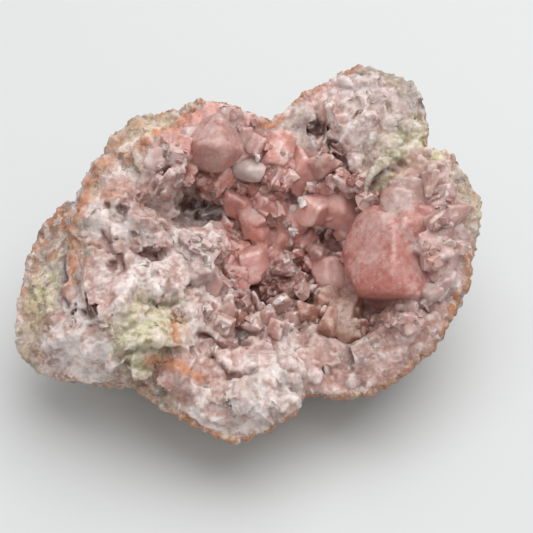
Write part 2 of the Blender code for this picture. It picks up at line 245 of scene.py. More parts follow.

# Stains and zones of the broken face, by colour, and patches of painted shade in its hollows: u, v and
# reach in millimetres.
ZONES: dict[Hue, tuple[tuple[float, float, float], ...]] = {
    Hue.PALE: ((8, 28, 3.4), (11, 24.5, 3.4), (9.5, 31, 2)),
    Hue.FROST: (
        (-24, -5, 3), (-18, -9, 2.6), (-28, -8, 2.4), (-13, -3, 2.4), (-36.5, 9, 2), (-35.5, 13, 1.8),
        (-36.5, 5, 2), (30, 22, 1.6), (-2, -38, 2),
    ),
    Hue.MILK: (
        (-28, 24, 4), (-22, 28, 3), (-28, 6, 4), (-36, 8, 3), (-23, -5, 5), (-17, -10, 4),
        (-35, -20, 5), (-41, -15, 4), (-38, -21, 4), (-11, -9, 2.4), (-8, -13, 2), (-13, -16, 2.4),
        (16, 11, 2), (4, -35, 6), (-4, -38, 5), (9, -31, 4), (-20, -8, 4), (28, 22, 4), (46, -6, 3),
        (-11, -39, 5), (0, -29, 3), (-13, 2, 3),
    ),
    Hue.BLUSH: (
        (-9, -14, 3.5), (-13, -14, 3.5), (-6, -19, 3.5), (-19, -17.2, 1.2), (-31, -15.5, 1.6),
        (-26, -15, 1.4), (-15, -24, 2), (8, 6, 2.6), (9.5, -1, 2.4), (10.5, 10, 2), (6, 13, 2.2),
        (-6, 2, 2), (-9, -18, 4), (-12, -12, 4), (-20, 5, 6), (-15, -8, 5), (-26, -8, 5), (-8, -32, 6),
        (12, -27, 5), (25, -22, 5), (36, -23, 5), (40, -13, 5), (-22, 22, 4), (-12, 4, 5), (27, 32, 5),
        (22, 29, 4), (45, 15, 5), (44, 2, 6), (7, -23, 5), (-33, -8, 5), (-10, -24, 5),
    ),
    Hue.ASH: (
        (6, 30.5, 2), (14, 28, 3), (25, 36, 4), (31, 24, 4), (36, 33, 3), (33, 30, 5), (30, 36, 3),
        (-30, -3, 3), (-40, -8, 3), (-37, -14, 3), (-30, 18, 3), (-47, -22, 4), (26, 27, 3),
        (-6, 27, 3), (45, -10, 3),
    ),
    Hue.ROSE: (
        (19, -26, 5), (28, -27, 5), (34, -23, 5), (24, -30, 4), (13, -31, 3), (-30, 0, 4),
        (-24, 10, 4), (-24, 3, 3), (24, 6, 4), (15, 13, 4), (42, 10, 4), (46, 12, 4), (43, -7, 4),
        (20, 13, 3), (17, 7, 3), (-9, -10, 3), (-4, -26, 4), (22, -22, 4), (44, 9, 6), (48, 4, 4),
        (6, 31, 3), (-15, -30, 4), (-18, 12, 4), (36, -17, 4), (19, 33, 3),
    ),
    Hue.SALMON: (
        (-5, 4, 3), (-6, -2, 2.6), (2, 9, 5), (0, 0, 5), (31, -4, 9), (24, -12, 5), (3, 18, 6),
        (12, -13, 2.6), (5, -16, 2.6), (37, 6, 6), (-9, 24, 6), (14, 18, 6), (34, 3, 6), (39, -5, 6),
    ),
    Hue.CORE: ((3, -6, 4), (14, -3, 4), (6, -10, 4), (33, -2, 8), (37, 4, 5)),
    Hue.DUSK: (
        (42, 12, 5), (46, 9, 4), (38, 16, 3), (36, -25, 3), (41, -20, 3), (24, -24, 3), (18, -27, 3),
        (39, 21, 2.6), (31, 28, 2.4), (42, -15, 3), (35, 34, 2.2), (31, -28, 2.6), (45, 5, 3),
        (42, 14, 3), (20, -26, 5), (29, -27, 5), (36, -22, 3), (13, -30, 3), (-30, 0, 3), (-24, 3, 3),
        (-30, 11, 3), (22, -18, 4),
    ),
    # Painted shade in the deep hollows.
    Hue.GARNET: ((19.3, 1.2, 3), (13.2, -5.8, 2), (0.6, -9.8, 2.6), (23, 15, 1.6)),
    Hue.PEACH: ((20, -15, 5), (-6, -17, 3), (-6, -35, 1.6), (-16, -26, 2)),
    Hue.TAN: (
        (27, -17, 3), (17, -12, 3), (-22, -31, 4), (-43, 5, 4), (-42, -1, 3), (-48, 4, 3.6),
        (-46, 8, 2.4), (-51, -3, 2.6), (-47, -17, 2.4), (-52, -14, 2), (-49, -24, 2),
    ),
    Hue.LIME: (
        (-25, -11.5, 3), (-30, -12.5, 2.6), (-21, -15.5, 3.4), (-18.5, -19, 3), (-23, -20, 3.6),
        (-29, -20.5, 3), (-24, -24.5, 2.6), (-33, -17, 1.6), (37, 29, 3.4), (34, 24.5, 3.2),
        (29, 20, 3), (31, 24, 3), (35, 21, 3), (33, 18, 2.4), (31, 32, 1.8), (39, 25, 2.5),
        (-47.5, -7, 3), (-49, -12, 3), (-14, 10, 1.6), (43, 21, 2),
    ),
    Hue.OLIVE: ((-25, -14.5, 1.6), (-28, -24, 3), (-20, -34, 3.5), (-31, -17, 1.6), (31, 18, 1.6)),
    Hue.RUST: (
        (-17, -18, 1.6), (-17, -20, 1.6), (-35, 0, 1.4), (-38, -3, 1.6), (-14, -28, 2), (-8, -29, 1.2),
        (-45.5, 8.5, 3), (-43, 6.5, 2.8), (-28, 20, 1.4), (-24, 24, 1.4), (-31, 13, 1.4),
        (-36, 14, 1.6), (-22, 27, 1.4), (-50, -1, 2), (-50, -6, 1.8), (-46, -1, 1.6), (-40, 1, 1.6),
    ),
    # The recess at the top left: dark grains with painted shade.
    Hue.SOOT: ((-14, 8, 3.6), (-11, 7, 2.6), (-16, 11, 2.4), (-10, 10.5, 2)),
}

# Patches of the broken face painted lighter or darker: u, v, reach, and how much lighter. Most set the tone
# of a zone; the one at 18, 9 is painted light on crystals that lie in shade.
TONE_AND_LIGHT: tuple[tuple[float, float, float, float], ...] = (
    (34.0, 30.0, 6.5, -0.3), (24.0, -27.0, 7.0, -0.3), (43.0, 13.0, 6.0, -0.1),
    (-27.0, 4.0, 9.0, -0.5), (7.0, -12.0, 7.0, -0.28), (-9.0, -13.0, 6.0, 0.1), (18.0, 9.0, 6.0, 0.5),
    (-22.0, -6.0, 6.0, 0.14), (19.0, -16.0, 5.0, -0.34), (21.0, 32.0, 6.0, 0.2),
    (-40.0, -16.0, 7.0, 0.12), (-31.0, 22.0, 6.0, 0.25), (-22.0, 28.0, 5.0, 0.25),
    (-50.0, -12.0, 12.0, 0.3), (30.0, -26.0, 8.0, -0.24), (42.0, -14.0, 5.0, -0.08),
    (-30.0, 26.0, 6.0, 0.1), (0.0, -35.0, 7.0, -0.16), (5.0, -9.0, 6.0, -0.3),
)

# How far the weathered rind shows round the edge of the broken face: u, v near the edge, width inwards.
RIND_WIDTHS: tuple[tuple[float, float, float], ...] = (
    (55, 9, 6), (51, 18, 4), (47, 23, 1.2), (42, 28, 2.5), (41, 36, 4), (34, 42, 3), (27, 44, 2.5),
    (20, 39, 1.2), (11, 35, 0.8), (5, 30, 0.8), (0, 33, 0.6), (-9, 35, 0.6), (-18, 32, 3),
    (-26, 30, 7), (-33, 23, 7), (-38, 16, 3.5), (-41, 10, 3), (-47, 8, 9), (-52, 0, 13),
    (-55, -10, 13), (-55, -20, 9), (-50, -27, 3.5), (-44, -30, 2), (-34, -28, 1.6), (-27, -31, 2.6),
    (-20, -38, 1.8), (-9, -43, 1.3), (4, -43, 1.3), (12, -36, 1.3), (16, -33, 1.3), (28, -33, 1.4),
    (38, -26, 1.4), (45, -18, 1.4), (50, -4, 1.4), (53, 4, 2.4),
)


@dataclass(frozen=True)
class Seam:
    """A raised vein or a groove that runs over the surface.

    Attributes:
        path: Its places on the broken face, u and v.
        width: Half its width in millimetres.
        height: How far it stands up, or below 0 how deep it cuts, in millimetres.
        hue: Its colour.
    """

    path: tuple[tuple[float, float], ...]
    width: float
    height: float
    hue: Hue

    def away(self, local: np.ndarray) -> np.ndarray:
        """How far each place is from the seam.

        Args:
            local: u, v and w, one a row.

        Returns:
            One distance for each place, as a share of the seam's width.
        """
        nearest = np.full(len(local), np.inf)
        for start, end in zip(self.path, self.path[1:]):
            run = np.subtract(end, start)
            along = np.clip((local[:, :2] - start) @ run / (run @ run), 0.0, 1.0)
            aside = local[:, :2] - start - along[:, None] * run
            nearest = np.minimum(nearest, np.linalg.norm(aside, axis=1))
        return nearest / self.width


# The grooves in the crevice colour are painted shade.
SEAMS: tuple[Seam, ...] = (
    Seam(((-34, 19), (-37, 15), (-39, 8), (-40, 1), (-41, -5), (-42.5, -11)), 1.1, 1.9, Hue.RUST),
    Seam(((-43.6, -3), (-43.2, -8), (-42.2, -13)), 0.7, -1.4, Hue.SLATE),
    Seam(((-33, 19), (-31, 24), (-26, 29)), 1.0, 1.2, Hue.CORAL),
    Seam(((-30, 21), (-27, 22), (-23, 24.5)), 0.8, 1.0, Hue.RUST),
    Seam(((-19, 26.5), (-17, 29), (-15, 31.5)), 0.9, 1.0, Hue.CORAL),
    Seam(((1.5, 30.5), (4.7, 28.6), (8, 31)), 0.6, 0.5, Hue.RUST),
    Seam(((19.8, 24.6), (20.6, 21.5), (22.2, 18.4)), 0.9, -3.0, Hue.CREVICE),
    Seam(((-17.5, -15), (-16.6, -19), (-16.8, -23)), 0.7, -0.6, Hue.RUST),
    Seam(((-24, -25.5), (-18, -26.5), (-12, -29.5)), 1.2, 0.4, Hue.RUST),
    Seam(((-31, -25), (-24, -23), (-17, -24)), 0.9, -1.6, Hue.OLIVE),
    Seam(((-34, 4), (-32, -1), (-29, -4)), 0.8, -1.2, Hue.CREVICE),
    Seam(((-31, 9.5), (-29, 12.5), (-25, 13)), 0.8, -1.2, Hue.CREVICE),
    Seam(((-28, 0.5), (-23, -1.5), (-19, -1)), 0.8, -1.2, Hue.CREVICE),
    Seam(((-25, -11.5), (-20, -13), (-15, -11)), 0.6, -1.0, Hue.OLIVE),
    Seam(((-12, -20), (-6, -21.5), (0, -21)), 0.8, -1.4, Hue.CREVICE),
    Seam(((-9.5, -24), (-5, -29.5), (1, -28.5)), 0.7, -1.5, Hue.CREVICE),
    Seam(((28, 14), (31, 18), (36, 20)), 0.8, -1.6, Hue.CREVICE),
)

# Smooth places of the broken face: u, v, radius.
CALM: tuple[tuple[float, float, float], ...] = (
    (7.5, 28.5, 5.2), (11.0, 24.5, 4.4), (-37.0, 5.0, 3.0), (-36.0, 10.5, 3.0),
)

# Places that the medium and small crystals leave open: gaps down to the stone and large smooth crystals.
# Each is u, v, radius.
CLEARINGS: tuple[tuple[float, float, float], ...] = (
    (-14.0, 8.5, 6.0), (19.3, 1.2, 3.2), (13.2, -5.8, 2.2), (0.6, -9.8, 2.6), (-4.0, 15.0, 2.0),
    (30.0, -5.5, 8.5), (34.0, 2.0, 6.5), (28.0, 4.0, 4.5), (35.0, -10.5, 4.5), (28.5, -12.5, 3.5),
    (-8.3, 24.6, 6.2), (22.5, 10.5, 4.5), (40.0, 8.0, 4.0), (0.7, -3.5, 4.2), (-2.5, 19.0, 4.0),
    (19.0, -6.0, 4.0), (-6.0, -14.0, 3.5), (4.0, -15.5, 3.0), (19.5, -15.0, 4.0), (-9.5, -8.0, 3.5),
)

# Painted highlights: pale spots on large crystals that faint lines run out from: u, v, reach.
HIGHLIGHT_SPOTS: tuple[tuple[float, float, float], ...] = (
    (33.0, -5.0, 7.5), (-7.0, 26.0, 4.5),
)

# Frosted sides of the largest crystal on the right: u, v, reach, and how white.
FROSTED: tuple[tuple[float, float, float, float], ...] = (
    (27.0, 5.0, 4.5, 0.4), (33.5, 5.5, 4.5, 0.45), (39.0, 2.0, 4.0, 0.5), (40.5, -4.0, 4.0, 0.5),
    (39.0, -9.5, 3.5, 0.45),
)

# Holes in the broken face: u, v, radius, depth.
HOLES: tuple[tuple[float, float, float, float], ...] = (
    (-15.1, 10.5, 1.5, 3.0), (-10.5, 10.8, 1.2, 2.5), (15.8, 28.0, 1.9, 4.0), (-23.0, -1.2, 1.6, 2.0),
    (-37.2, -14.6, 1.8, 2.5), (-33.0, 10.0, 1.0, 1.6), (22.5, 17.5, 1.5, 3.0), (-12.5, 8.0, 0.8, 1.8),
    (-27.0, 3.0, 1.2, 1.2), (24.0, 14.0, 1.2, 3.0), (19.3, 1.2, 3.0, 2.5), (13.2, -5.8, 2.0, 2.0),
    (0.6, -9.8, 2.6, 2.5), (-29.5, 9.0, 1.3, 1.6), (-32.0, -4.0, 1.2, 1.6),
)


class Form(Enum):
    """The shapes that the crystals take."""

    BLOCK = "rhombohedron that looks like a worn cube"
    POINT = "six-sided prism under a low pyramid"
    CHIP = "broken lump of quartz with flat faces"
    BLADE = "flat tapering sliver"
    MASS = "large smooth crystal with rounded edges"


@dataclass(frozen=True)
class Crystal:
    """One large crystal, where it stands and how it leans.

    Attributes:
        u: Its place to the right.
        v: Its place up the broken face.
        across: Its width in millimetres.
        length: Its height in millimetres.
        right: How far it leans to the right, in degrees.
        up: How far it leans up the broken face, in degrees.
        form: Its shape.
        hue: Its colour.
        rise: How far its middle stands above the stone, as a share of its length.
        brood: How many smaller ones grew parallel to it.
    """

    u: float
    v: float
    across: float
    length: float
    right: float
    up: float
    form: Form = Form.BLOCK
    hue: Hue = Hue.SALMON
    rise: float = 0.02
    brood: int = 2


# Short names for the rows below.
B, P, C, S, M = Form.BLOCK, Form.POINT, Form.CHIP, Form.BLADE, Form.MASS

# The large crystals, from the top left to the bottom right. Those in the two lit salmon colours are painted
# lighter: painted light where they lie in shade.
LARGE: tuple[Crystal, ...] = (
    Crystal(-8.3, 24.4, 13.5, 12, -3, -6, M, Hue.BLOOM, -0.05, 0),
    Crystal(-21.3, 20.3, 7, 7, -10, 5, M, Hue.BLUSH, -0.05, 1),
    Crystal(-15.0, 18.0, 7, 9, 10, -35, P, Hue.SALMON),
    Crystal(-2.5, 26.5, 7, 7, 20, 0, B, Hue.ROSE, -0.2, 1),
    Crystal(-14.5, 26.5, 5, 5, -15, 0, M, Hue.BLUSH, -0.2, 0),
    Crystal(1.5, 23.5, 8, 8, 10, 0, B, Hue.ROSE),
    Crystal(-2.5, 19.0, 5.2, 10, 65, -10, M, Hue.MILK, 0.25, 0),
    Crystal(3.0, 15.5, 4.6, 5.5, 45, 0, M, Hue.MILK, 0.3, 1),
    Crystal(-8.6, 12.5, 4.6, 11, 0, 55, S, Hue.MILK, 0.2, 1),
    Crystal(-3.5, 11.0, 9, 11, 15, 5, B, Hue.SALMON),
    Crystal(0.5, 7.5, 8.5, 9, 10, -10, B, Hue.SALMON),
    Crystal(0.7, -3.0, 10, 14, 0, -20, B, Hue.SALMON, 0.05, 1),
    Crystal(2.0, 4.0, 7.5, 10, -20, 10, P, Hue.GLOW),
    Crystal(12.0, 17.5, 11.5, 12, 5, 5, B, Hue.GLOW),
    Crystal(17.5, 20.0, 6.5, 12, 10, 20, P, Hue.PETAL),
    Crystal(15.0, 9.0, 10, 10, -10, 5, B, Hue.DAWN, 0.15, 1),
    Crystal(9.5, 6.5, 9, 9, -10, 5, B, Hue.GLOW),
    Crystal(22.5, 10.0, 12, 12, 10, 0, B, Hue.DAWN, 0.15, 1),
    Crystal(13.0, 3.0, 7, 12, 5, -10, B, Hue.GLOW),
    Crystal(7.0, 1.0, 7.5, 10, -10, 10, B, Hue.GLOW),
    Crystal(15.5, -1.0, 6, 12, 15, -15, P, Hue.ROSE),
    Crystal(9.0, -4.5, 5, 12, -10, -20, P, Hue.ROSE),
    Crystal(19.0, -6.2, 12, 12, -20, -5, M, Hue.SALMON, -0.12, 1),
    Crystal(33.0, -4.4, 20, 25, 28, -60, M, Hue.DEEP, -0.1, 0),
    Crystal(37.5, 3.0, 14, 12, 0, 5, M, Hue.CORE, -0.18, 0),
    Crystal(34.5, 10.0, 11, 9, -5, 10, M, Hue.DUSK, -0.14, 2),
    Crystal(40.0, 6.5, 12, 9, 5, 5, M, Hue.CORE, -0.16, 2),
    Crystal(43.5, 2.5, 10, 8, 15, 0, C, Hue.DUSK, -0.14, 3),
    Crystal(38.5, 12.5, 10, 8, 0, 10, C, Hue.DUSK, -0.17, 3),
    Crystal(36.5, -10.0, 8, 8, 5, -10, M, Hue.CORE, -0.08, 0),
    Crystal(37.5, -13.5, 6, 9, 15, 15, P, Hue.BLUSH, 0.0, 1),
    Crystal(41.8, -10.0, 6, 10, 25, 25, P, Hue.BLUSH, 0.0, 1),
    Crystal(17.6, -12.6, 7.5, 8, -15, 10, B, Hue.PEACH, 0.05, 3),
    Crystal(21.8, -14.4, 7.5, 8, 5, 5, B, Hue.TAN, 0.05, 3),
    Crystal(18.6, -17.6, 7.5, 8, -10, 0, C, Hue.PEACH, 0.05, 3),
    Crystal(22.8, -19.0, 6, 6, 5, -10, C, Hue.TAN, 0.0, 3),
    Crystal(25.6, -16.5, 3.6, 8, -15, 30, S, Hue.TAN, 0.1, 2),
    Crystal(27.2, -18.5, 3.4, 8, -10, 25, S, Hue.CORE, 0.1, 2),
    Crystal(-9.5, -7.5, 8.5, 8, 15, 5, M, Hue.ROSE, -0.18, 1),
    Crystal(-9.5, -13.2, 7, 11, 15, 25, P, Hue.PETAL, -0.1, 1),
    Crystal(-5.2, -14.6, 5.5, 12, 5, 40, P, Hue.PETAL, 0.0, 1),
    Crystal(-2.2, -16.4, 5, 10, 15, 30, P, Hue.PEACH, 0.0, 1),
    Crystal(1.2, -13.2, 5, 8, 0, 30, S, Hue.ROSE, 0.1, 3),
    Crystal(4.0, -16.0, 5.5, 9, -15, 25, P, Hue.ROSE, 0.0, 2),
    Crystal(7.4, -12.6, 6, 9, 10, 20, P, Hue.ROSE, -0.05, 2),
    Crystal(10.8, -10.8, 4.6, 12, 5, 35, P, Hue.PETAL, 0.0, 1),
    Crystal(10.0, -16.0, 5.5, 8, 15, 20, P, Hue.ROSE, -0.05, 2),
    Crystal(13.6, -15.0, 6, 7, 0, 0, C, Hue.PEACH, 0.0, 3),
    Crystal(17.7, -27.4, 4, 3, 0, 0, C, Hue.BLUSH, 0.0, 1),
)

# Rounded lumps of the broken quartz: u, v, width, colour.
MOUNDS: tuple[tuple[float, float, float, Hue], ...] = (
    (-7.0, -25.3, 6.0, Hue.BLUSH), (-2.6, -25.8, 7.0, Hue.ROSE), (-4.8, -28.6, 6.0, Hue.BLUSH),
    (-29.0, 3.5, 9.0, Hue.MILK), (-33.5, 6.5, 7.0, Hue.MILK), (-25.0, 7.0, 7.0, Hue.BLUSH),
    (-20.5, 1.5, 7.0, Hue.BLUSH), (-42.0, -19.0, 6.0, Hue.ASH), (-27.0, -5.5, 8.0, Hue.MILK),
    (9.0, -27.0, 7.0, Hue.BLUSH), (14.5, -29.0, 6.0, Hue.BLUSH), (3.0, -24.5, 5.0, Hue.ROSE),
    (-6.5, -20.0, 8.0, Hue.BLUSH), (0.0, -20.8, 9.0, Hue.BLUSH), (7.0, -20.8, 10.0, Hue.MILK),
    (13.5, -20.5, 9.0, Hue.BLUSH), (20.0, -22.5, 8.0, Hue.ROSE),
)

# Tiny white crystals on top of the others, painted highlights where glints show: u, v, width.
GLINT_CRYSTALS: tuple[tuple[float, float, float], ...] = (
    (14.0, 14.8, 2.4), (11.8, 11.6, 2.0), (12.6, 10.6, 1.6), (10.0, 9.4, 2.0), (13.0, 13.4, 1.2),
    (10.8, -0.5, 2.2), (9.8, 4.5, 2.0), (7.5, -11.5, 2.4), (5.0, -13.5, 2.0), (1.8, 21.5, 1.8),
)


def add_node(
    tree: bpy.types.NodeTree, kind: str, settings: dict | None = None, links: dict | None = None
) -> bpy.types.Node:
    """Adds one node to a material.

    Args:
        tree: The material's node tree.
        kind: The node's type, such as "ShaderNodeTexNoise".
        settings: Values by the name or the number of a socket, or by the name of one of the node's own
            settings.
        links: The sockets that feed it, by the name or the number of the input.

    Returns:
        The new node.
    """
    node = tree.nodes.new(kind)
    for name, value in (settings or {}).items():
        if isinstance(name, int) or name in node.inputs:
            node.inputs[name].default_value = value
        else:
            setattr(node, name, value)
    for name, source in (links or {}).items():
        tree.links.new(source, node.inputs[name])
    return node


@dataclass(frozen=True)
class Layer:
    """Patches of one more colour in a finish."""

    hue: Hue
    size: float  # in millimetres
    start: float  # the level of the noise where a patch begins
    most: float  # how much of the colour shows inside it
    edge: float = 0.05


@dataclass(frozen=True)
class Finish:
    """What every finish of the geode shares: a tint painted on the mesh, mottled and roughened by noise."""

    name: str
    mottle: float  # the size of the mottling in millimetres
    mottle_depth: float  # how much darker the dark mottles are
    grain: float  # the size of the surface grain in millimetres, coarser than the real one so that it shows
    grain_height: float  # in millimetres
    roughness: float
    subsurface: float
    depth: float  # how far light gets into it, in millimetres
    veil: float = 0.0  # how much white shows in the veils
    facet: float = 0.0  # the size of the tiny facets in millimetres
    facet_tilt: float = 0.5  # how steeply they lean
    layers: tuple[Layer, ...] = ()

    def material(self) -> bpy.types.Material:
        """Makes the material with its nodes.

        Returns:
            The material, which reads the tint from the mesh.
        """
        made = bpy.data.materials.new(self.name)
        made.use_nodes = True
        tree = made.node_tree
        shader = tree.nodes["Principled BSDF"]
        where = add_node(tree, "ShaderNodeTexCoord").outputs["Object"]
        tint = add_node(tree, "ShaderNodeAttribute", {"attribute_name": "tint"}).outputs["Color"]
        tint = self.mottled(tree, where, tint)
        tree.links.new(tint, shader.inputs["Base Color"])
        tree.links.new(self.bumped(tree, where), shader.inputs["Normal"])
        shader.inputs["Roughness"].default_value = self.roughness
        shader.inputs["Subsurface Weight"].default_value = self.subsurface
        # Red light spreads furthest in a pink mineral.
        shader.inputs["Subsurface Radius"].default_value = (1.0, 0.66, 0.6)
        shader.inputs["Subsurface Scale"].default_value = self.depth * MM
        self.finished(shader)
        return made

    def mottled(
        self, tree: bpy.types.NodeTree, where: bpy.types.NodeSocket, tint: bpy.types.NodeSocket
    ) -> bpy.types.NodeSocket:
        """Darkens and whitens the tint in patches.

        Args:
            tree: The material's node tree.
            where: The place on the object.
            tint: The colour painted on the mesh.

        Returns:
            The new colour.
        """
        patches = add_node(
            tree,
            "ShaderNodeTexNoise",
            {"Scale": 1 / (self.mottle * MM), "Detail": 6.0, "Roughness": 0.65},
            {"Vector": where},
        ).outputs["Fac"]
        shade = add_node(
            tree,
            "ShaderNodeMapRange",
            {"From Min": 0.3, "From Max": 0.62, "To Min": 1.0 - self.mottle_depth},
            {"Value": patches},
        ).outputs["Result"]
        tint = add_node(
            tree,
            "ShaderNodeMixRGB",
            {"blend_type": "MULTIPLY", "Fac": 1.0},
            {"Color1": tint, "Color2": shade},
        ).outputs["Color"]
        for i, layer in enumerate(self.layers):
            noisy = add_node(
                tree,
                "ShaderNodeTexNoise",
                {
                    "noise_dimensions": "4D",
                    "W": 3.7 * i,
                    "Scale": 1 / (layer.size * MM),
                    "Detail": 9.0,
                    "Roughness": 0.66,
                    "Distortion": 0.3,
                },
                {"Vector": where},
            ).outputs["Fac"]
            share = add_node(
                tree,
                "ShaderNodeMapRange",
                {"From Min": layer.start, "From Max": layer.start + layer.edge, "To Max": layer.most},
                {"Value": noisy},
            ).outputs["Result"]
            tint = add_node(
                tree,
                "ShaderNodeMixRGB",
                {"Color2": linear(layer.hue.value)},
                {"Fac": share, "Color1": tint},
            ).outputs["Color"]
        if not self.veil:
            return tint
        veils = add_node(
            tree,
            "ShaderNodeTexNoise",
            {"Scale": 0.7 / (self.mottle * MM), "Detail": 4.0, "Distortion": 1.6},
            {"Vector": where},
        ).outputs["Fac"]
        veils = add_node(
            tree,
            "ShaderNodeMapRange",
            {"From Min": 0.5, "From Max": 0.72, "To Max": self.veil},
            {"Value": veils},
        ).outputs["Result"]
        return add_node(
            tree, "ShaderNodeMixRGB", {"Color2": linear(Hue.MILK.value)}, {"Fac": veils, "Color1": tint}
        ).outputs["Color"]

    def bumped(self, tree: bpy.types.NodeTree, where: bpy.types.NodeSocket) -> bpy.types.NodeSocket:
        """Raises the surface grain and the tiny facets.

        Args:
            tree: The material's node tree.
            where: The place on the object.

        Returns:
            The bent normal.
        """
        grain = add_node(
            tree,
            "ShaderNodeTexNoise",
            {"Scale": 1 / (self.grain * MM), "Detail": 5.0, "Roughness": 0.6},
            {"Vector": where},
        ).outputs["Fac"]
        bent = add_node(
            tree,
            "ShaderNodeBump",
            {"Distance": self.grain_height * MM, "Strength": 1.0},
            {"Height": grain},
        ).outputs["Normal"]
        if not self.facet:
            return bent
        cells = add_node(
            tree, "ShaderNodeTexVoronoi", {"Scale": 1 / (self.facet * MM)}, {"Vector": where}
        ).outputs
        inside = add_node(
            tree, "ShaderNodeVectorMath", {"operation": "SUBTRACT"}, {0: where, 1: cells["Position"]}
        ).outputs["Vector"]
        lean = add_node(
            tree, "ShaderNodeVectorMath", {"operation": "SUBTRACT", 1: (0.5, 0.5, 0.5)}, {0: cells["Color"]}
        ).outputs["Vector"]
        height = add_node(
            tree, "ShaderNodeVectorMath", {"operation": "DOT_PRODUCT"}, {0: inside, 1: lean}
        ).outputs["Value"]
        return add_node(
            tree,
            "ShaderNodeBump",
            {"Distance": 2.0 * self.facet_tilt, "Strength": 1.0},
            {"Height": height, "Normal": bent},
        ).outputs["Normal"]

    def finished(self, shader: bpy.types.Node) -> None:
        """Sets what only this finish has."""


@dataclass(frozen=True)
class Amethyst(Finish):
    """Milky pink amethyst: glassy faces over a cloudy body that lets light in for a few millimetres."""

    transmission: float = 0.12

    def finished(self, shader: bpy.types.Node) -> None:
        """Gives it quartz's refraction and a little see-through depth."""
        shader.inputs["IOR"].default_value = 1.544
        shader.inputs["Transmission Weight"].default_value = self.transmission


# The skin of a nodule that has lain in clay: chalky silica, dull and pitted, in greys and tans with
# flecks of rust where iron has got in. It has no gloss, and only the pits and grains catch the light.
RIND = Finish(
    name="weathered_rind",
    mottle=1.6,
    mottle_depth=0.45,
    grain=0.6,
    grain_height=0.55,
    roughness=0.9,
    subsurface=0.0,
    depth=0.1,
    facet=1.6,
    facet_tilt=0.4,
    layers=(
        Layer(Hue.GREY, 7.0, 0.47, 0.35, 0.14),
        Layer(Hue.PALE, 4.0, 0.54, 0.4, 0.1),
        Layer(Hue.OCHRE, 6.0, 0.53, 0.45, 0.12),
        Layer(Hue.RUST, 4.6, 0.57, 0.6, 0.08),
        Layer(Hue.UMBER, 2.8, 0.54, 0.75, 0.07),
        Layer(Hue.SLATE, 1.2, 0.6, 0.6, 0.06),
    ),
)
# Milky quartz as it breaks: waxy to the eye, cloudy white and pink, with light that spreads about a
# millimetre into it and small broken faces that glint.
QUARTZ = Finish(
    name="massive_quartz",
    mottle=3.0,
    mottle_depth=0.12,
    grain=0.6,
    grain_height=0.2,
    roughness=0.42,
    subsurface=0.5,
    depth=1.2,
    facet=0.9,
    facet_tilt=0.32,
    layers=(
        Layer(Hue.DUSK, 1.8, 0.54, 0.45, 0.08),
        Layer(Hue.FROST, 2.0, 0.54, 0.5, 0.12),
        Layer(Hue.TAN, 0.9, 0.64, 0.4),
        Layer(Hue.CORAL, 1.8, 0.67, 0.6),
    ),
)
# Milky amethyst, as the large crystals are: flat glassy faces over a cloudy body that glows where light
# gets in, with white veils and a sugary frost on it.
CRYSTAL = Amethyst(
    name="milky_amethyst",
    mottle=2.4,
    mottle_depth=0.15,
    grain=0.6,
    grain_height=0.1,
    roughness=0.34,
    subsurface=0.8,
    depth=2.2,
    veil=0.25,
    layers=(Layer(Hue.FROST, 1.6, 0.6, 0.3), Layer(Hue.FROST, 0.6, 0.58, 0.45, 0.08)),
)
# Clear amethyst, as the small sharp crystals are: the glossiest of all, slightly see-through, with few
# veils.
CLEAR = Amethyst(
    name="clear_amethyst",
    mottle=1.6,
    mottle_depth=0.12,
    grain=0.5,
    grain_height=0.08,
    roughness=0.3,
    subsurface=0.5,
    depth=0.7,
    veil=0.2,
    layers=(Layer(Hue.FROST, 1.2, 0.6, 0.4), Layer(Hue.SALMON, 2.0, 0.55, 0.35)),
    transmission=0.04,
)
# Druse, the crust of tiny crystals: it looks like coarse sugar, paler than the large crystals and dusty.
DRUSE = Amethyst(
    name="drusy_amethyst",
    mottle=1.8,
    mottle_depth=0.15,
    grain=0.5,
    grain_height=0.12,
    roughness=0.34,
    subsurface=0.5,
    depth=0.8,
    facet=1.3,
    facet_tilt=0.3,
    layers=(Layer(Hue.DUSK, 1.4, 0.57, 0.4), Layer(Hue.FROST, 1.8, 0.55, 0.5, 0.12)),
    transmission=0.05,
)


def new_piece(
    name: str, bm: bmesh.types.BMesh, materials: Iterable[bpy.types.Material]
) -> bpy.types.Object:
    """Turns a bmesh in metres to an object of the scene.

    Args:
        name: The piece's name.
        bm: Its shape, which is freed.
        materials: Its materials, in the order of their indices.

    Returns:
        The new object, at the origin.
    """
    mesh = bpy.data.meshes.new(name)
    bm.to_mesh(mesh)
    bm.free()
    for material in materials:
        mesh.materials.append(material)
    piece = bpy.data.objects.new(name, mesh)
    bpy.context.scene.collection.objects.link(piece)
    return piece


def paint(mesh: bpy.types.Mesh, colours: np.ndarray) -> None:
    """Writes the tint of every vertex, as linear red, green and blue, one a row."""
    layer = mesh.color_attributes.new("tint", "FLOAT_COLOR", "POINT")
    layer.data.foreach_set("color", np.hstack([colours, np.ones((len(colours), 1))]).ravel())


def vertex_array(mesh: bpy.types.Mesh, what: str = "co") -> np.ndarray:
    """Reads every vertex's position or normal.

    Args:
        mesh: The mesh.
        what: "co" for the positions, in metres, or "no" for the normals.

    Returns:
        Three numbers for each vertex, one a row.
    """
    values = np.zeros(len(mesh.vertices) * 3, np.float32)
    source = mesh.vertices if what == "co" else mesh.vertex_normals
    source.foreach_get("co" if what == "co" else "vector", values)
    return values.reshape(-1, 3).astype(float)


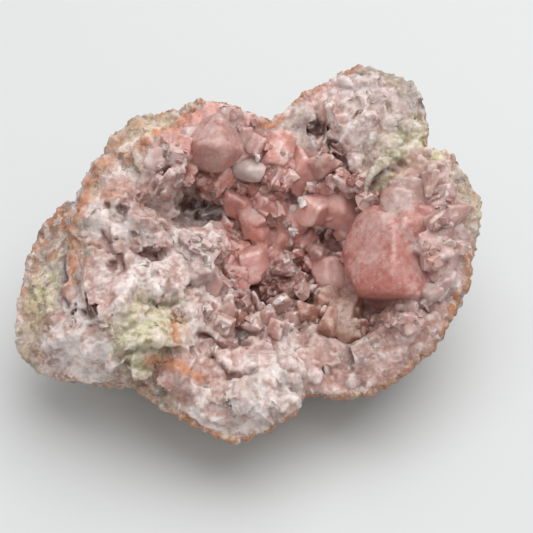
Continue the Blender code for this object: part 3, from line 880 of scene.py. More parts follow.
def proud(mesh: bpy.types.Mesh, rounds: int = 14) -> np.ndarray:
    """How far each vertex stands out of its surroundings.

    Args:
        mesh: An even mesh.
        rounds: How often the surroundings are smoothed.

    Returns:
        Heights in millimetres, below 0 in a hollow.
    """
    points, normals = vertex_array(mesh), vertex_array(mesh, "no")
    ends = np.zeros(len(mesh.edges) * 2, np.int32)
    mesh.edges.foreach_get("vertices", ends)
    first, second = ends.reshape(-1, 2).T
    count = np.bincount(ends, minlength=len(points)).clip(1)
    soft = points.copy()
    for _ in range(rounds):
        for axis in soft.T:
            sums = np.bincount(first, axis[second], len(points))
            sums += np.bincount(second, axis[first], len(points))
            axis += 0.5 * (sums / count - axis)
    return ((points - soft) * normals).sum(axis=1) / MM


def settled(piece: bpy.types.Object) -> bmesh.types.BMesh:
    """Takes the modifiers off a piece.

    Args:
        piece: The piece, whose own mesh stays as it is.

    Returns:
        The shape that the modifiers made.
    """
    graph = bpy.context.evaluated_depsgraph_get()
    mesh = bpy.data.meshes.new_from_object(piece.evaluated_get(graph))
    piece.modifiers.clear()
    bm = bmesh.new()
    bm.from_mesh(mesh)
    bpy.data.meshes.remove(mesh)
    return bm


def fuse(piece: bpy.types.Object, voxel: float, smoothing: int, base: float = 0.5) -> None:
    """Grows the closed shapes of a piece together to one skin with an even mesh.

    Args:
        piece: The piece, whose mesh is changed.
        voxel: The size of the mesh's faces, in millimetres.
        smoothing: How often the skin is smoothed.
        base: The height below which it stays as it is, so that the bottom is flat, in millimetres.
    """
    remesh = piece.modifiers.new("even mesh", "REMESH")
    remesh.mode = "VOXEL"
    remesh.voxel_size = voxel * MM
    bm = settled(piece)
    loose = [vertex for vertex in bm.verts if vertex.co.z > base * MM]
    for _ in range(smoothing):
        bmesh.ops.smooth_vert(bm, verts=loose, factor=0.5, **AXES)
    bm.to_mesh(piece.data)
    bm.free()


def thin_out(piece: bpy.types.Object, plain_side: np.ndarray, triangles: int) -> None:
    """Leaves fewer faces where a skin needs no fine relief.

    Args:
        piece: The piece, whose mesh is changed.
        plain_side: Whether each vertex may go.
        triangles: How many triangles stay.
    """
    count = sum(len(face.vertices) - 2 for face in piece.data.polygons)
    if count <= triangles:
        return
    group = piece.vertex_groups.new(name="plain side")
    for i in np.flatnonzero(plain_side):
        group.add([int(i)], 1.0, "REPLACE")
    thin = piece.modifiers.new("fewer faces", "DECIMATE")
    thin.ratio = triangles / count
    thin.vertex_group = group.name
    bm = settled(piece)
    bm.to_mesh(piece.data)
    bm.free()
    piece.vertex_groups.clear()


@dataclass(frozen=True)
class Footing:
    """Where a crystal may stand: a point in metres, the surface's direction, and which layer it is."""

    point: Vector
    normal: Vector
    layer: str


class Ground:
    """The surfaces that crystals stand on."""

    START = 60.0  # where a line of sight starts, in millimetres out of the broken face
    END = -80.0

    def __init__(self) -> None:
        """Starts with nothing to stand on."""
        self.layers: dict[str, BVHTree] = {}

    def add(self, piece: bpy.types.Object) -> None:
        """Lets crystals stand on one more piece.

        Args:
            piece: The piece, as it is now.
        """
        bm = bmesh.new()
        bm.from_mesh(piece.data)
        self.layers[piece.name] = BVHTree.FromBMesh(bm)
        bm.free()

    def under(self, u: float, v: float) -> Footing | None:
        """Finds the first surface behind a place on the broken face.

        Args:
            u: The place to the right, in millimetres.
            v: The place up the face, in millimetres.

        Returns:
            The footing there, or None where there is nothing.
        """
        start = FACE.place(u, v, self.START)
        aim = (FACE.place(u, v, self.END) - start).normalized()
        hits = [(name, *tree.ray_cast(start, aim)) for name, tree in self.layers.items()]
        hits = [hit for hit in hits if hit[1] is not None]
        if not hits:
            return None
        name, point, normal, _, _ = min(hits, key=lambda hit: hit[4])
        return Footing(point, normal if normal.dot(aim) < 0 else -normal, name)


class Tints:
    """The colour of the broken face from place to place."""

    STRAY = Relief(3.0, 2.6)  # how far the edges of the zones wander, in millimetres
    APART = (31, 17, 5)  # where the second direction of it is read
    FADE = 1.6  # how fast a zone gives way to the next

    def __init__(self) -> None:
        """Collects the zones."""
        rows = [(*zone, hue.rgb) for hue, zones in ZONES.items() for zone in zones]
        self.places = np.array([row[:2] for row in rows], float)
        self.reach = np.array([row[2] for row in rows], float)
        self.colours = np.array([row[3] for row in rows])

    def at(self, local: np.ndarray) -> np.ndarray:
        """The colour at each place.

        Args:
            local: u, v and w, one a row.

        Returns:
            Linear red, green and blue, one a row.
        """
        stray = [self.STRAY.at(local), self.STRAY.at(local + self.APART)]
        places = local[:, :2] + np.stack(stray, axis=1)
        away = np.linalg.norm(places[:, None] - self.places[None], axis=2) / self.reach
        # The second term only counts far from every zone, where the first one is 0.
        weight = np.exp(-self.FADE * away**2) + 1e-9 / (1.0 + away**2)
        return (weight @ self.colours) / weight.sum(axis=1, keepdims=True) * self.shade(local)

    @staticmethod
    def shade(local: np.ndarray) -> np.ndarray:
        """How much lighter or darker than its zone each place is.

        Args:
            local: u, v and w, one a row.

        Returns:
            Factors of about 1, one a row.
        """
        shade = np.ones((len(local), 1))
        for u, v, reach, lighter in TONE_AND_LIGHT:
            shade += lighter * np.exp(-((apart(local, u, v)[:, None] / reach) ** 2))
        return shade


def calm(local: np.ndarray, most: float = 0.85) -> np.ndarray:
    """How smooth each place of the broken face is.

    Args:
        local: u, v and w, one a row.
        most: The value in the middle of a smooth place.

    Returns:
        One value for each place, from 0 up to the most.
    """
    share = np.zeros(len(local))
    for u, v, radius in CALM:
        share = np.maximum(share, np.exp(-((apart(local, u, v) / radius) ** 4)))
    return share * most


class Rim:
    """The outline of the broken face and the band of rind that shows inside it."""

    BINS = 180  # how many parts of the round it is measured in
    RAGS = Relief(4.0)
    BLEND = 0.7  # the width of the change from rind to quartz, in millimetres

    def __init__(self, local: np.ndarray) -> None:
        """Measures the outline.

        Args:
            local: u, v and w of the stone's surface, one a row.
        """
        angle, reach = self.polar(local)
        bins = (angle / math.tau * self.BINS).astype(int) % self.BINS
        self.edge = np.zeros(self.BINS)
        np.maximum.at(self.edge, bins, reach)
        self.centres = (np.arange(self.BINS) + 0.5) / self.BINS * math.tau
        stretches = np.array(RIND_WIDTHS)
        turns = np.arctan2(stretches[:, 1], stretches[:, 0]) % math.tau
        order = np.argsort(turns)
        self.turns, self.widths = turns[order], stretches[order, 2]

    @staticmethod
    def polar(local: np.ndarray) -> tuple[np.ndarray, np.ndarray]:
        """The angle and the distance of each place from the middle of the face."""
        return np.arctan2(local[:, 1], local[:, 0]) % math.tau, np.hypot(local[:, 0], local[:, 1])

    def margin(self, local: np.ndarray) -> tuple[np.ndarray, np.ndarray]:
        """Measures each place from the outline.

        Args:
            local: u, v and w, one a row.

        Returns:
            How far each is inside the outline, and how wide the rind is there, in millimetres.
        """
        angle, reach = self.polar(local)
        rim = np.interp(angle, self.centres, self.edge, period=math.tau)
        return rim - reach, np.interp(angle, self.turns, self.widths, period=math.tau)

    def rind(self, local: np.ndarray) -> np.ndarray:
        """How much of each place of the face is rind.

        Args:
            local: u, v and w, one a row.

        Returns:
            One value for each place, from 0 to 1.
        """
        margin, width = self.margin(local)
        ragged = self.RAGS.at(local) * (0.35 * width + 0.5)
        return smooth_step((width - margin + ragged) / self.BLEND)


@dataclass
class Nodule:
    """The stone: weathered rind outside and broken, lumpy quartz on its face."""

    tints: Tints
    voxel: float = 0.5  # the size of the finest relief, in millimetres
    outline_voxel: float = 0.9
    smoothing: int = 1
    triangles: int = 196_000
    foot: float = 0.3  # how high the relief starts above the flat spot, in millimetres
    turned: float = 0.12  # a side that faces out of the break by less than this is rind
    turned_blend: float = 0.2
    front: float = 0.1  # a side that faces out by more than this may have holes
    lump_tint: float = 0.6  # how much of its own colour a lump of quartz keeps
    swells: Relief = Relief(12.0, 1.4, 2, 90)
    humps: Relief = Relief(4.5, 0.6)
    block_size: float = 3.2
    block_height: float = 0.3
    fibres: Relief = Relief(1.0, 0.25)
    pits: Relief = Relief(2.0, 0.8, 4)
    knobs: Relief = Relief(5.0, 1.0, 4, 50)
    knob_height: float = 1.1
    bulges: Relief = Relief(15.0, 1.3, 2, 130)
    plain: bpy.types.Object = field(init=False)
    rim: Rim = field(init=False)

    def __post_init__(self) -> None:
        """Takes the plain stone and measures its outline."""
        bm = bmesh.new()
        bm.from_mesh(bpy.data.objects["stone_shell"].data)
        bmesh.ops.remove_doubles(bm, verts=bm.verts, dist=0.001 * MM)
        self.plain = new_piece("nodule_stone", bm, (RIND.material(), QUARTZ.material()))
        outline = new_piece("outline", bmesh.new(), ())
        outline.data = self.plain.data.copy()
        fuse(outline, self.outline_voxel, 0)
        self.rim = Rim(FACE.locate(vertex_array(outline.data)))
        bpy.data.objects.remove(outline)

    def build(self, lumps: Growth) -> bpy.types.Object:
        """Makes the dressed stone in place of the plain one.

        Args:
            lumps: The broken lumps that are one with it.

        Returns:
            The dressed stone.
        """
        piece = self.plain
        bm = lumps.bm.copy()
        bm.from_mesh(piece.data)
        bm.to_mesh(piece.data)
        bm.free()
        fuse(piece, self.voxel, self.smoothing)
        mesh = piece.data
        thin_out(piece, vertex_array(mesh, "no") @ FACE.axes[2] < 0.0, self.triangles)
        points, normals = vertex_array(mesh), vertex_array(mesh, "no")
        local = FACE.locate(points)
        facing = normals @ FACE.axes[2]
        rind = np.maximum(self.rim.rind(local), smooth_step((self.turned - facing) / self.turned_blend))
        relief = self.relief(points / MM, local, rind)
        relief[points[:, 2] < self.foot * MM] = 0.0
        chosen, share = lumps.nearest(points)
        points += normals * (relief * MM)[:, None]
        sunk = self.holes(local)
        points -= FACE.axes[2] * (sunk * (facing > self.front) * MM)[:, None]
        points[:, 2] = np.maximum(points[:, 2], 0.0)
        mesh.vertices.foreach_set("co", points.astype(np.float32).ravel())
        mesh.update()
        quartz = blend(self.tints.at(local), chosen, (share * self.lump_tint)[:, None])
        paint(mesh, self.colours(points / MM, local, facing, rind, quartz, proud(mesh)))
        self.dress(mesh, rind)
        mesh.update()
        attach(piece, BODY)
        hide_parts("stone_shell")
        return piece

    def relief(self, points: np.ndarray, local: np.ndarray, rind: np.ndarray) -> np.ndarray:
        """The height of the surface relief.

        Args:
            points: The points, in millimetres, one a row.
            local: Their u, v and w.
            rind: How much of each is rind, from 0 to 1.

        Returns:
            Heights in millimetres.
        """
        broken = self.swells.at(points) + self.humps.at(points)
        broken = broken + self.blocks(points) * self.block_height + self.fibres.at(self.fibrous(local))
        knobs = (0.4 - np.abs(self.knobs.at(points))) * self.knob_height
        weathered = self.pits.at(points) + knobs + self.bulges.at(points)
        height = broken * (1 - rind) * (1 - calm(local)) + weathered * rind
        beads = 0.75 + 0.5 * self.beads(points)
        for seam, share in self.seams(points, local):
            height += seam.height * share * beads
        return height

    def seams(self, points: np.ndarray, local: np.ndarray) -> list[tuple[Seam, np.ndarray]]:
        """How much of each seam there is at each point, from 0 to 1."""
        strayed = local + self.wander(points)
        return [(seam, np.exp(-(seam.away(strayed) ** 2))) for seam in SEAMS]

    @staticmethod
    def wander(points: np.ndarray) -> np.ndarray:
        """How far a seam strays sideways at each point, in millimetres."""
        return np.stack([fractal(points + shift, 4.0, 4) for shift in (5.0, 23.0, 41.0)], axis=1)

    @staticmethod
    def beads(points: np.ndarray) -> np.ndarray:
        """Uneven swellings along a seam, from -1 to 1."""
        return np.clip(fractal(points + 77, 2.4, 2) * 1.6, -1, 1)

    @staticmethod
    def fibrous(local: np.ndarray) -> np.ndarray:
        """Places for a noise that runs in streaks away from the middle of the face."""
        angle, reach = Rim.polar(local)
        return np.stack([angle * 32.0, reach / 5.0, local[:, 2] / 4.0], axis=1)

    def blocks(self, points: np.ndarray) -> np.ndarray:
        """A relief of blocks that stand out at all angles, such as broken quartz has.

        Args:
            points: The points, in millimetres.

        Returns:
            Heights from about -1 to 1.
        """
        heights = np.empty(len(points))
        for i, row in enumerate(points / self.block_size):
            point = Vector(row)
            best = -1.0
            for centre in noise.voronoi(point)[1][:2]:
                lean = (noise.cell_vector(centre * 13.7) * 2.0 - Vector((1, 1, 1))).normalized()
                side = lean.orthogonal().normalized()
                other = lean.cross(side)
                offset = point - centre
                reach = max(abs(offset.dot(lean)), abs(offset.dot(side)), abs(offset.dot(other)))
                best = max(best, 0.8 - 2.4 * reach + 0.7 * lean.x)
            heights[i] = best
        return heights

    @staticmethod
    def holes(local: np.ndarray) -> np.ndarray:
        """How deep the holes are at each place.

        Args:
            local: u, v and w, one a row.

        Returns:
            Depths in millimetres, 0 where there is no hole.
        """
        deep = np.zeros(len(local))
        ragged = 1.0 + 0.8 * fractal(local, 2.2, 3)
        for u, v, radius, depth in HOLES:
            away = apart(local, u, v) / radius
            deep = np.maximum(deep, depth * smooth_step(1.35 - away * ragged))
        return deep

    def colours(
        self,
        points: np.ndarray,
        local: np.ndarray,
        facing: np.ndarray,
        rind: np.ndarray,
        quartz: np.ndarray,
        height: np.ndarray,
    ) -> np.ndarray:
        """Colours the stone, with painted shade in the low places and white on the high ones, partly frost
        and partly a painted highlight.

        Args:
            points: The points, in millimetres, one a row.
            local: Their u, v and w.
            facing: How far each one faces out of the break, from -1 to 1.
            rind: How much of it is rind, from 0 to 1.
            quartz: Its linear colour where it is quartz.
            height: How far it stands out of its surroundings, in millimetres.

        Returns:
            The linear colour of each point.
        """
        # Painted shade in the low places; on the high ones white frost, partly a painted highlight.
        low = smooth_step((-0.1 - height) / 0.65)[:, None]
        high = smooth_step((height - 0.05) / 0.4)[:, None]
        strayed = points + self.wander(points) * 2.0
        quartz = self.mottle(local, strayed, quartz)
        quartz = quartz * (1 - low * 0.65 * (1 - Hue.DUSK.rgb))
        quartz = blend(quartz, Hue.FROST.rgb, high * 0.4)
        # Painted shade in the low places of the rind too.
        clay = self.clay(points, local, strayed, facing) * (1 - low * 0.35)
        clay = self.stain(points, local, clay) * self.tints.shade(local)
        mixed = blend(quartz, clay, rind[:, None])
        # Each seam in its colour; the grooves in the crevice colour are painted shade.
        for seam, share in self.seams(points, local):
            mixed = blend(mixed, seam.hue.rgb, share[:, None] * 0.85)
        # Painted shade in the holes.
        dark = np.clip(self.holes(local) / 2.5, 0, 1)[:, None] * 0.75
        return blend(mixed, Hue.CREVICE.rgb, dark)

    def mottle(self, local: np.ndarray, strayed: np.ndarray, quartz: np.ndarray) -> np.ndarray:
        """Mottles the broken quartz.

        Args:
            local: u, v and w of each point, one a row.
            strayed: The points in millimetres, moved about so that the blotches are ragged.
            quartz: The linear colour of each point.

        Returns:
            The colours with dusky, tan and frosted blotches, and with fibrous bands where they are lime.
        """
        quartz = quartz * (1 + 0.3 * fractal(self.fibrous(local), 1.3, 4)[:, None])
        lively = (1 - calm(local))[:, None]
        milky = np.clip((quartz[:, 2:] - 0.3) / 0.25, 0.25, 1.0)
        limy = smooth_step((quartz[:, 1:2] - quartz[:, 2:] * 1.25) / 0.12)
        cool = smooth_step((0.2 - (quartz[:, :1] - quartz[:, 2:])) / 0.12)
        for hue, size, start, most in (
            (Hue.DUSK, 5.0, -0.04, 0.8 * (1 - limy) * (1 - 0.6 * cool)),
            (Hue.TAN, 2.2, 0.2, 0.5 * (1 - limy)),
            (Hue.FROST, 4.0, -0.02, 0.8 * milky * (1 - 0.6 * limy)),
            (Hue.FROST, 1.6, 0.08, 0.5 * milky * (1 - 0.4 * limy)),
        ):
            share = smooth_step((fractal(strayed + size * 70, size, 6) - start) / 0.3)[:, None]
            quartz = blend(quartz, hue.rgb, share * most * lively)
        flat = np.stack([strayed[:, 0] / 4.5, local[:, 1] / 1.3, strayed[:, 1] / 4.5], axis=1)
        bands = fractal(flat + 7, 1.0, 4)[:, None]
        quartz = blend(quartz, Hue.OLIVE.rgb, smooth_step((bands - 0.12) / 0.25) * limy * 0.8)
        return blend(quartz, Hue.FROST.rgb, smooth_step((-bands - 0.12) / 0.2) * limy * 0.6)

    def clay(
        self, points: np.ndarray, local: np.ndarray, strayed: np.ndarray, facing: np.ndarray
    ) -> np.ndarray:
        """Colours the rind.

        Args:
            points: The points, in millimetres, one a row.
            local: Their u, v and w.
            strayed: The points moved about, so that the patches are ragged.
            facing: How far each one faces out of the break, from -1 to 1.

        Returns:
            Linear colours in patches, with dark cracks and a rusty line where the rind is thin.
        """
        clay = np.tile(Hue.CLAY.rgb, (len(points), 1))
        for hue, size, start, most in (
            (Hue.UMBER, 14.0, 0.0, 0.45),
            (Hue.OCHRE, 9.0, 0.05, 0.5),
            (Hue.PALE, 7.0, 0.1, 0.5),
        ):
            share = smooth_step((fractal(strayed + size * 40, size, 3) - start) / 0.3)[:, None]
            clay = blend(clay, hue.rgb, share * most)
        cracks = np.clip(1 - np.abs(fractal(strayed + 33, 6.0, 4)) / 0.04, 0, 1)[:, None]
        clay = blend(clay, Hue.UMBER.rgb, cracks * 0.6)
        margin, width = self.rim.margin(local)
        thin = smooth_step((3.0 - width) / 1.5) * smooth_step((3.5 - margin) / 1.5)
        thin *= smooth_step(facing / 0.3 + 1.2)
        thin *= smooth_step((fractal(points, 1.5, 4) + 0.3) / 0.2)
        return blend(clay, Hue.RUST.rgb, thin[:, None] * 0.9)

    @staticmethod
    def stain(points: np.ndarray, local: np.ndarray, clay: np.ndarray) -> np.ndarray:
        """Lays the named orange and yellow stains over the rind's colours, in flecks.

        Args:
            points: The points, in millimetres, one a row.
            local: Their u, v and w.
            clay: Their linear colours so far.

        Returns:
            The stained colours.
        """
        flecks = smooth_step((fractal(points + 120, 1.8, 5) + 0.2) / 0.25)
        for hue in (Hue.TAN, Hue.RUST, Hue.LIME, Hue.OLIVE):
            for u, v, reach in ZONES[hue]:
                share = 0.85 * np.exp(-((apart(local, u, v) / (reach * 1.1)) ** 4)) * flecks
                clay = blend(clay, hue.rgb, share[:, None])
        return clay

    @staticmethod
    def dress(mesh: bpy.types.Mesh, rind: np.ndarray) -> None:
        """Gives each face the rind's or the quartz's material, and smooth shading.

        Args:
            mesh: The stone's mesh.
            rind: How much of each vertex is rind, from 0 to 1.
        """
        indices = [0 if rind[face.vertices[0]] > 0.5 else 1 for face in mesh.polygons]
        mesh.polygons.foreach_set("material_index", indices)
        mesh.polygons.foreach_set("use_smooth", [True] * len(indices))


class Cutter:
    """Cuts single crystals, one unit wide and one unit high with the root at the bottom."""

    def __init__(self, rng: random.Random) -> None:
        """Keeps the source of chance."""
        self.rng = rng

    def cut(self, form: Form, worn: float = 0.03) -> bpy.types.Mesh:
        """Makes one crystal.

        Args:
            form: Its shape.
            worn: How far its edges are worn away, as a share of its width.

        Returns:
            Its mesh, which stands on the origin.
        """
        bm = bmesh.new()
        make = {
            Form.BLOCK: self.block,
            Form.POINT: self.point,
            Form.CHIP: self.chip,
            Form.BLADE: self.blade,
            Form.MASS: self.mass,
        }
        make[form](bm)
        if form is not Form.MASS:
            self.wear(bm, worn)
            self.frost(bm)
        low, high = (op(vertex.co.z for vertex in bm.verts) for op in (min, max))
        bmesh.ops.translate(bm, vec=(0, 0, -low), verts=bm.verts)
        bmesh.ops.scale(bm, vec=(1, 1, 1 / (high - low)), verts=bm.verts)
        mesh = bpy.data.meshes.new("crystal")
        bm.to_mesh(mesh)
        bm.free()
        return mesh

    def trim(self, bm: bmesh.types.BMesh, direction: Vector, distance: float) -> None:
        """Cuts a solid flat and closes the cut.

        Args:
            bm: The solid.
            direction: The way that the cut faces, as a unit vector.
            distance: How far from the origin it is.
        """
        geometry = bm.verts[:] + bm.edges[:] + bm.faces[:]
        cut = bmesh.ops.bisect_plane(
            bm, geom=geometry, plane_co=direction * distance, plane_no=direction, clear_outer=True
        )
        edges = [piece for piece in cut["geom_cut"] if isinstance(piece, bmesh.types.BMEdge)]
        if edges:
            bmesh.ops.contextual_create(bm, geom=edges)

    def block(self, bm: bmesh.types.BMesh) -> None:
        """Makes a worn, uneven cube with a corner or an edge up, and several corners cut off.

        Args:
            bm: The empty mesh that it goes in.
        """
        bmesh.ops.create_cube(bm, size=0.88)
        sides = Vector([self.rng.uniform(0.74, 1.12) for _ in range(3)])
        bmesh.ops.scale(bm, vec=sides, verts=bm.verts)
        skew = Matrix.Shear("XY", 4, (self.rng.uniform(-0.3, 0.3), self.rng.uniform(-0.3, 0.3)))
        bmesh.ops.transform(bm, matrix=skew, verts=bm.verts)
        for _ in range(self.rng.choice((3, 4, 5, 6))):
            corner = Vector([self.rng.uniform(-1, 1) for _ in range(3)]).normalized()
            self.trim(bm, corner, self.rng.uniform(0.4, 0.56))
        upright = Vector((1, 1, 1)).rotation_difference(Vector((0, 0, 1))).to_matrix().to_4x4()
        tip = Matrix.Rotation(math.radians(self.rng.uniform(-48, 48)), 4, "X")
        bmesh.ops.transform(bm, matrix=tip @ upright, verts=bm.verts)

    def point(self, bm: bmesh.types.BMesh) -> None:
        """Makes a six-sided prism whose larger end faces meet off its middle.

        Args:
            bm: The empty mesh that it goes in.
        """
        bmesh.ops.create_cone(bm, cap_ends=True, segments=6, radius1=0.4, radius2=0.5, depth=1.0)
        peak = self.rng.uniform(0.42, 0.5)
        for i in range(6):
            turn = math.tau * (i + self.rng.uniform(-0.1, 0.1)) / 6
            steep = self.rng.uniform(0.8, 1.15)
            face = Vector((math.cos(turn), math.sin(turn), steep)).normalized()
            self.trim(bm, face, face.z * (peak + self.rng.uniform(-0.02, 0.08)))

    def chip(self, bm: bmesh.types.BMesh) -> None:
        """Makes an uneven, flattened lump with a dozen flat faces.

        Args:
            bm: The empty mesh that it goes in.
        """
        bmesh.ops.create_cube(bm, size=1.1)
        for _ in range(9):
            way = Vector([self.rng.gauss(0, 1) for _ in range(3)]).normalized()
            self.trim(bm, way, self.rng.uniform(0.34, 0.54))
        bmesh.ops.scale(bm, vec=(1.1, self.rng.uniform(0.5, 1.0), 1.0), verts=bm.verts)

    def blade(self, bm: bmesh.types.BMesh) -> None:
        """Makes a flat sliver that tapers to a slanted end.

        Args:
            bm: The empty mesh that it goes in.
        """
        bmesh.ops.create_cone(bm, cap_ends=True, segments=4, radius1=0.55, radius2=0.3, depth=1.6)
        bmesh.ops.scale(bm, vec=(1, 0.42, 1), verts=bm.verts)
        for _ in range(3):
            way = Vector((self.rng.uniform(-1, 1), self.rng.uniform(-0.4, 0.4), self.rng.uniform(0.5, 1.2)))
            self.trim(bm, way.normalized(), self.rng.uniform(0.5, 0.72))

    def mass(self, bm: bmesh.types.BMesh) -> None:
        """Makes a rounded block with flattened corners: a crystal whose faces are nearly grown away.

        Args:
            bm: The empty mesh that it goes in.
        """
        bmesh.ops.create_icosphere(bm, subdivisions=4, radius=0.58)
        sides = [Vector(axis) * sign for axis in ((1, 0, 0), (0, 1, 0), (0, 0, 1)) for sign in (1, -1)]
        corners = [Vector((x, y, z)) for x in (1, -1) for y in (1, -1) for z in (1, -1)]
        turn = Matrix.Rotation(self.rng.uniform(-0.4, 0.4), 3, "X")
        turn = turn @ Matrix.Rotation(self.rng.uniform(-0.4, 0.4), 3, "Y")
        for way, reach in [(side, 0.4) for side in sides] + [(corner, 0.51) for corner in corners]:
            stray = Vector([self.rng.gauss(0, 0.14) for _ in range(3)])
            way = turn @ (way.normalized() + stray).normalized()
            distance = reach * self.rng.uniform(0.9, 1.08)
            for vertex in bm.verts:
                over = vertex.co.dot(way) - distance
                if over > 0:
                    vertex.co -= way * over * 0.96
        for _ in range(3):
            bmesh.ops.smooth_vert(bm, verts=bm.verts, factor=0.5, **AXES)

    @staticmethod
    def frost(bm: bmesh.types.BMesh) -> None:
        """Insets the faces, so that their middles can be clearer than their edges, and marks the edges.

        Args:
            bm: The crystal.
        """
        broad = [face for face in bm.faces if face.calc_area() > 0.02]
        bmesh.ops.inset_individual(bm, faces=broad, thickness=0.07, use_even_offset=True)
        edge = bm.verts.layers.float.new("edge")
        middles = {vertex for face in broad for vertex in face.verts}
        for vertex in bm.verts:
            vertex[edge] = 0.0 if vertex in middles else 1.0

    @staticmethod
    def wear(bm: bmesh.types.BMesh, worn: float) -> None:
        """Wears the edges away.

        Args:
            bm: The crystal.
            worn: How far, as a share of its width.
        """
        bmesh.ops.remove_doubles(bm, verts=bm.verts, dist=0.03)
        bmesh.ops.recalc_face_normals(bm, faces=bm.faces)
        bmesh.ops.bevel(
            bm, geom=bm.edges[:], offset=worn, segments=1, affect="EDGES", profile=0.5, material=-1
        )


@dataclass
class Growth:
    """A mesh of many crystals, each with its own tint.

    Attributes:
        name: The piece's name.
        cloud: The size of the milky clouds in the crystals, in millimetres.
        milkiness: How white the clouds are, from 0 to 1.
        frosting: How white the edges of loose crystals are, from 0 to 1.
        upper_whiteness: How white the upper sides are, from 0 to 1.
        reach: How far from a crystal a point may still belong to it, in millimetres.
        steps: The growth steps on the faces: their spread, and the height of one in millimetres.
        pits: The pits between them, in millimetres.
    """

    name: str
    cloud: float = 3.0
    milkiness: float = 0.75
    frosting: float = 0.0
    upper_whiteness: float = 0.0
    reach: float = 1.5
    steps: tuple[Relief, float] = (Relief(3.5, 3.5, 2, 9), 0.06)
    pits: Relief = Relief(1.4, 0.09)
    bm: bmesh.types.BMesh = field(init=False, default_factory=bmesh.new)
    tints: list[np.ndarray] = field(init=False, default_factory=list)

    def add(self, stock: bpy.types.Mesh, matrix: Matrix, root: np.ndarray, tip: np.ndarray) -> None:
        """Adds one crystal.

        Args:
            stock: The crystal at unit size.
            matrix: Where it goes and how large it is.
            root: Its linear colour at the root.
            tip: Its linear colour at the tip.
        """
        heights = vertex_array(stock)[:, 2:]
        edges = np.zeros(len(heights), np.float32)
        if self.frosting and "edge" in stock.attributes:
            stock.attributes["edge"].data.foreach_get("value", edges)
        tints = blend(root, tip, heights)
        self.tints.append(blend(tints, Hue.FROST.rgb, edges[:, None] * heights * self.frosting))
        copy = stock.copy()
        copy.transform(matrix)
        self.bm.from_mesh(copy)
        bpy.data.meshes.remove(copy)

    def nearest(self, points: np.ndarray) -> tuple[np.ndarray, np.ndarray]:
        """Finds which crystal each point belongs to.

        Args:
            points: The points, in metres, one a row.

        Returns:
            The crystal's linear colour there, and how surely the point belongs to it, from 0 to 1.
        """
        tree = BVHTree.FromBMesh(self.bm)
        tints = np.vstack(self.tints)
        self.bm.faces.ensure_lookup_table()
        owner = np.array([face.verts[0].index for face in self.bm.faces])
        colours, share = np.zeros((len(points), 3)), np.zeros(len(points))
        for i, row in enumerate(points):
            _, _, face, away = tree.find_nearest(Vector(row), self.reach * MM)
            if face is not None:
                colours[i] = tints[owner[face]]
                share[i] = 1.0 - away / (self.reach * MM)
        return colours, share

    def weather(self, mesh: bpy.types.Mesh) -> None:
        """Gives a grown-together skin its growth steps, clouds, milky edges with a painted highlight, and
        painted shade in its hollows.

        Args:
            mesh: The skin, which is changed and painted.
        """
        points, normals = vertex_array(mesh), vertex_array(mesh, "no")
        colours, _ = self.nearest(points)
        places = points / MM
        spread, step = self.steps
        relief = np.floor(spread.at(places) + 0.5) * step + self.pits.at(places)
        points += normals * (relief * MM)[:, None]
        mesh.vertices.foreach_set("co", points.astype(np.float32).ravel())
        mesh.update()
        # Milk in clouds and veins, and white on the edges, which stand out of their surroundings: frost
        # there, and a painted highlight.
        height = proud(mesh, 10)
        strayed = places + Nodule.wander(places) * 1.5
        clouds = fractal(strayed + 61, self.cloud, 6)
        veins = 1.0 - np.abs(fractal(strayed + 17, 5.0, 4)) / 0.06
        edges = 0.55 * smooth_step((height - 0.05) / 0.3) * (1.0 + fractal(places + 29, 0.8, 2))
        white_and_highlight = (0.6 * smooth_step((clouds - 0.02) / 0.5) + 0.25 * np.clip(veins, 0, 1)) * self.milkiness
        # Whiter specks on the sides that face up.
        specks = smooth_step((fractal(strayed + 83, 1.5, 6) + 0.12) / 0.3)
        upper_specks = smooth_step((normals @ FACE.axes[1] + 0.15) / 0.7) * specks * self.upper_whiteness
        white_and_highlight = np.clip(white_and_highlight + edges + upper_specks, 0, 0.7)
        white_and_highlight = np.maximum(white_and_highlight, self.highlights_and_frost(points))[:, None]
        # Painted shade darkens the hollows; the clear parts between the clouds are deeper in colour.
        deep = np.clip(0.6 * smooth_step(-height / 0.5) + 0.25 * smooth_step(-clouds / 0.4), 0, 1)[:, None]
        paint(mesh, blend(colours, Hue.FROST.rgb, white_and_highlight) * (1 - deep * (1 - Hue.CORE.rgb)))

    @staticmethod
    def highlights_and_frost(points: np.ndarray) -> np.ndarray:
        """How white the pale spots, which are painted highlights, the lines that run out from them and the
        frosted sides are.

        Args:
            points: The points, in metres, one a row.

        Returns:
            One value for each point, from 0 to 1.
        """
        local = FACE.locate(points)
        white = np.zeros(len(points))
        for u, v, reach in HIGHLIGHT_SPOTS:
            aside, above = local[:, 0] - u, local[:, 1] - v
            away = np.hypot(aside, above)
            ray = np.stack([aside, above, np.zeros(len(local))], axis=1) / np.maximum(away, 0.1)[:, None]
            lines = smooth_step((fractal(ray * 5.0 + 11, 1.0, 4) - 0.1) / 0.4) * 0.22
            white = np.maximum(white, lines * np.exp(-((away / reach) ** 4)))
            # The painted highlight in the middle of each spot.
            white = np.maximum(white, 0.45 * np.exp(-((away / 0.9) ** 2)))
        specks = smooth_step((fractal(points / MM + 47, 1.6, 5) + 0.3) / 0.5)
        for u, v, reach, most in FROSTED:
            white = np.maximum(white, most * np.exp(-((apart(local, u, v) / reach) ** 2)) * specks)
        return white

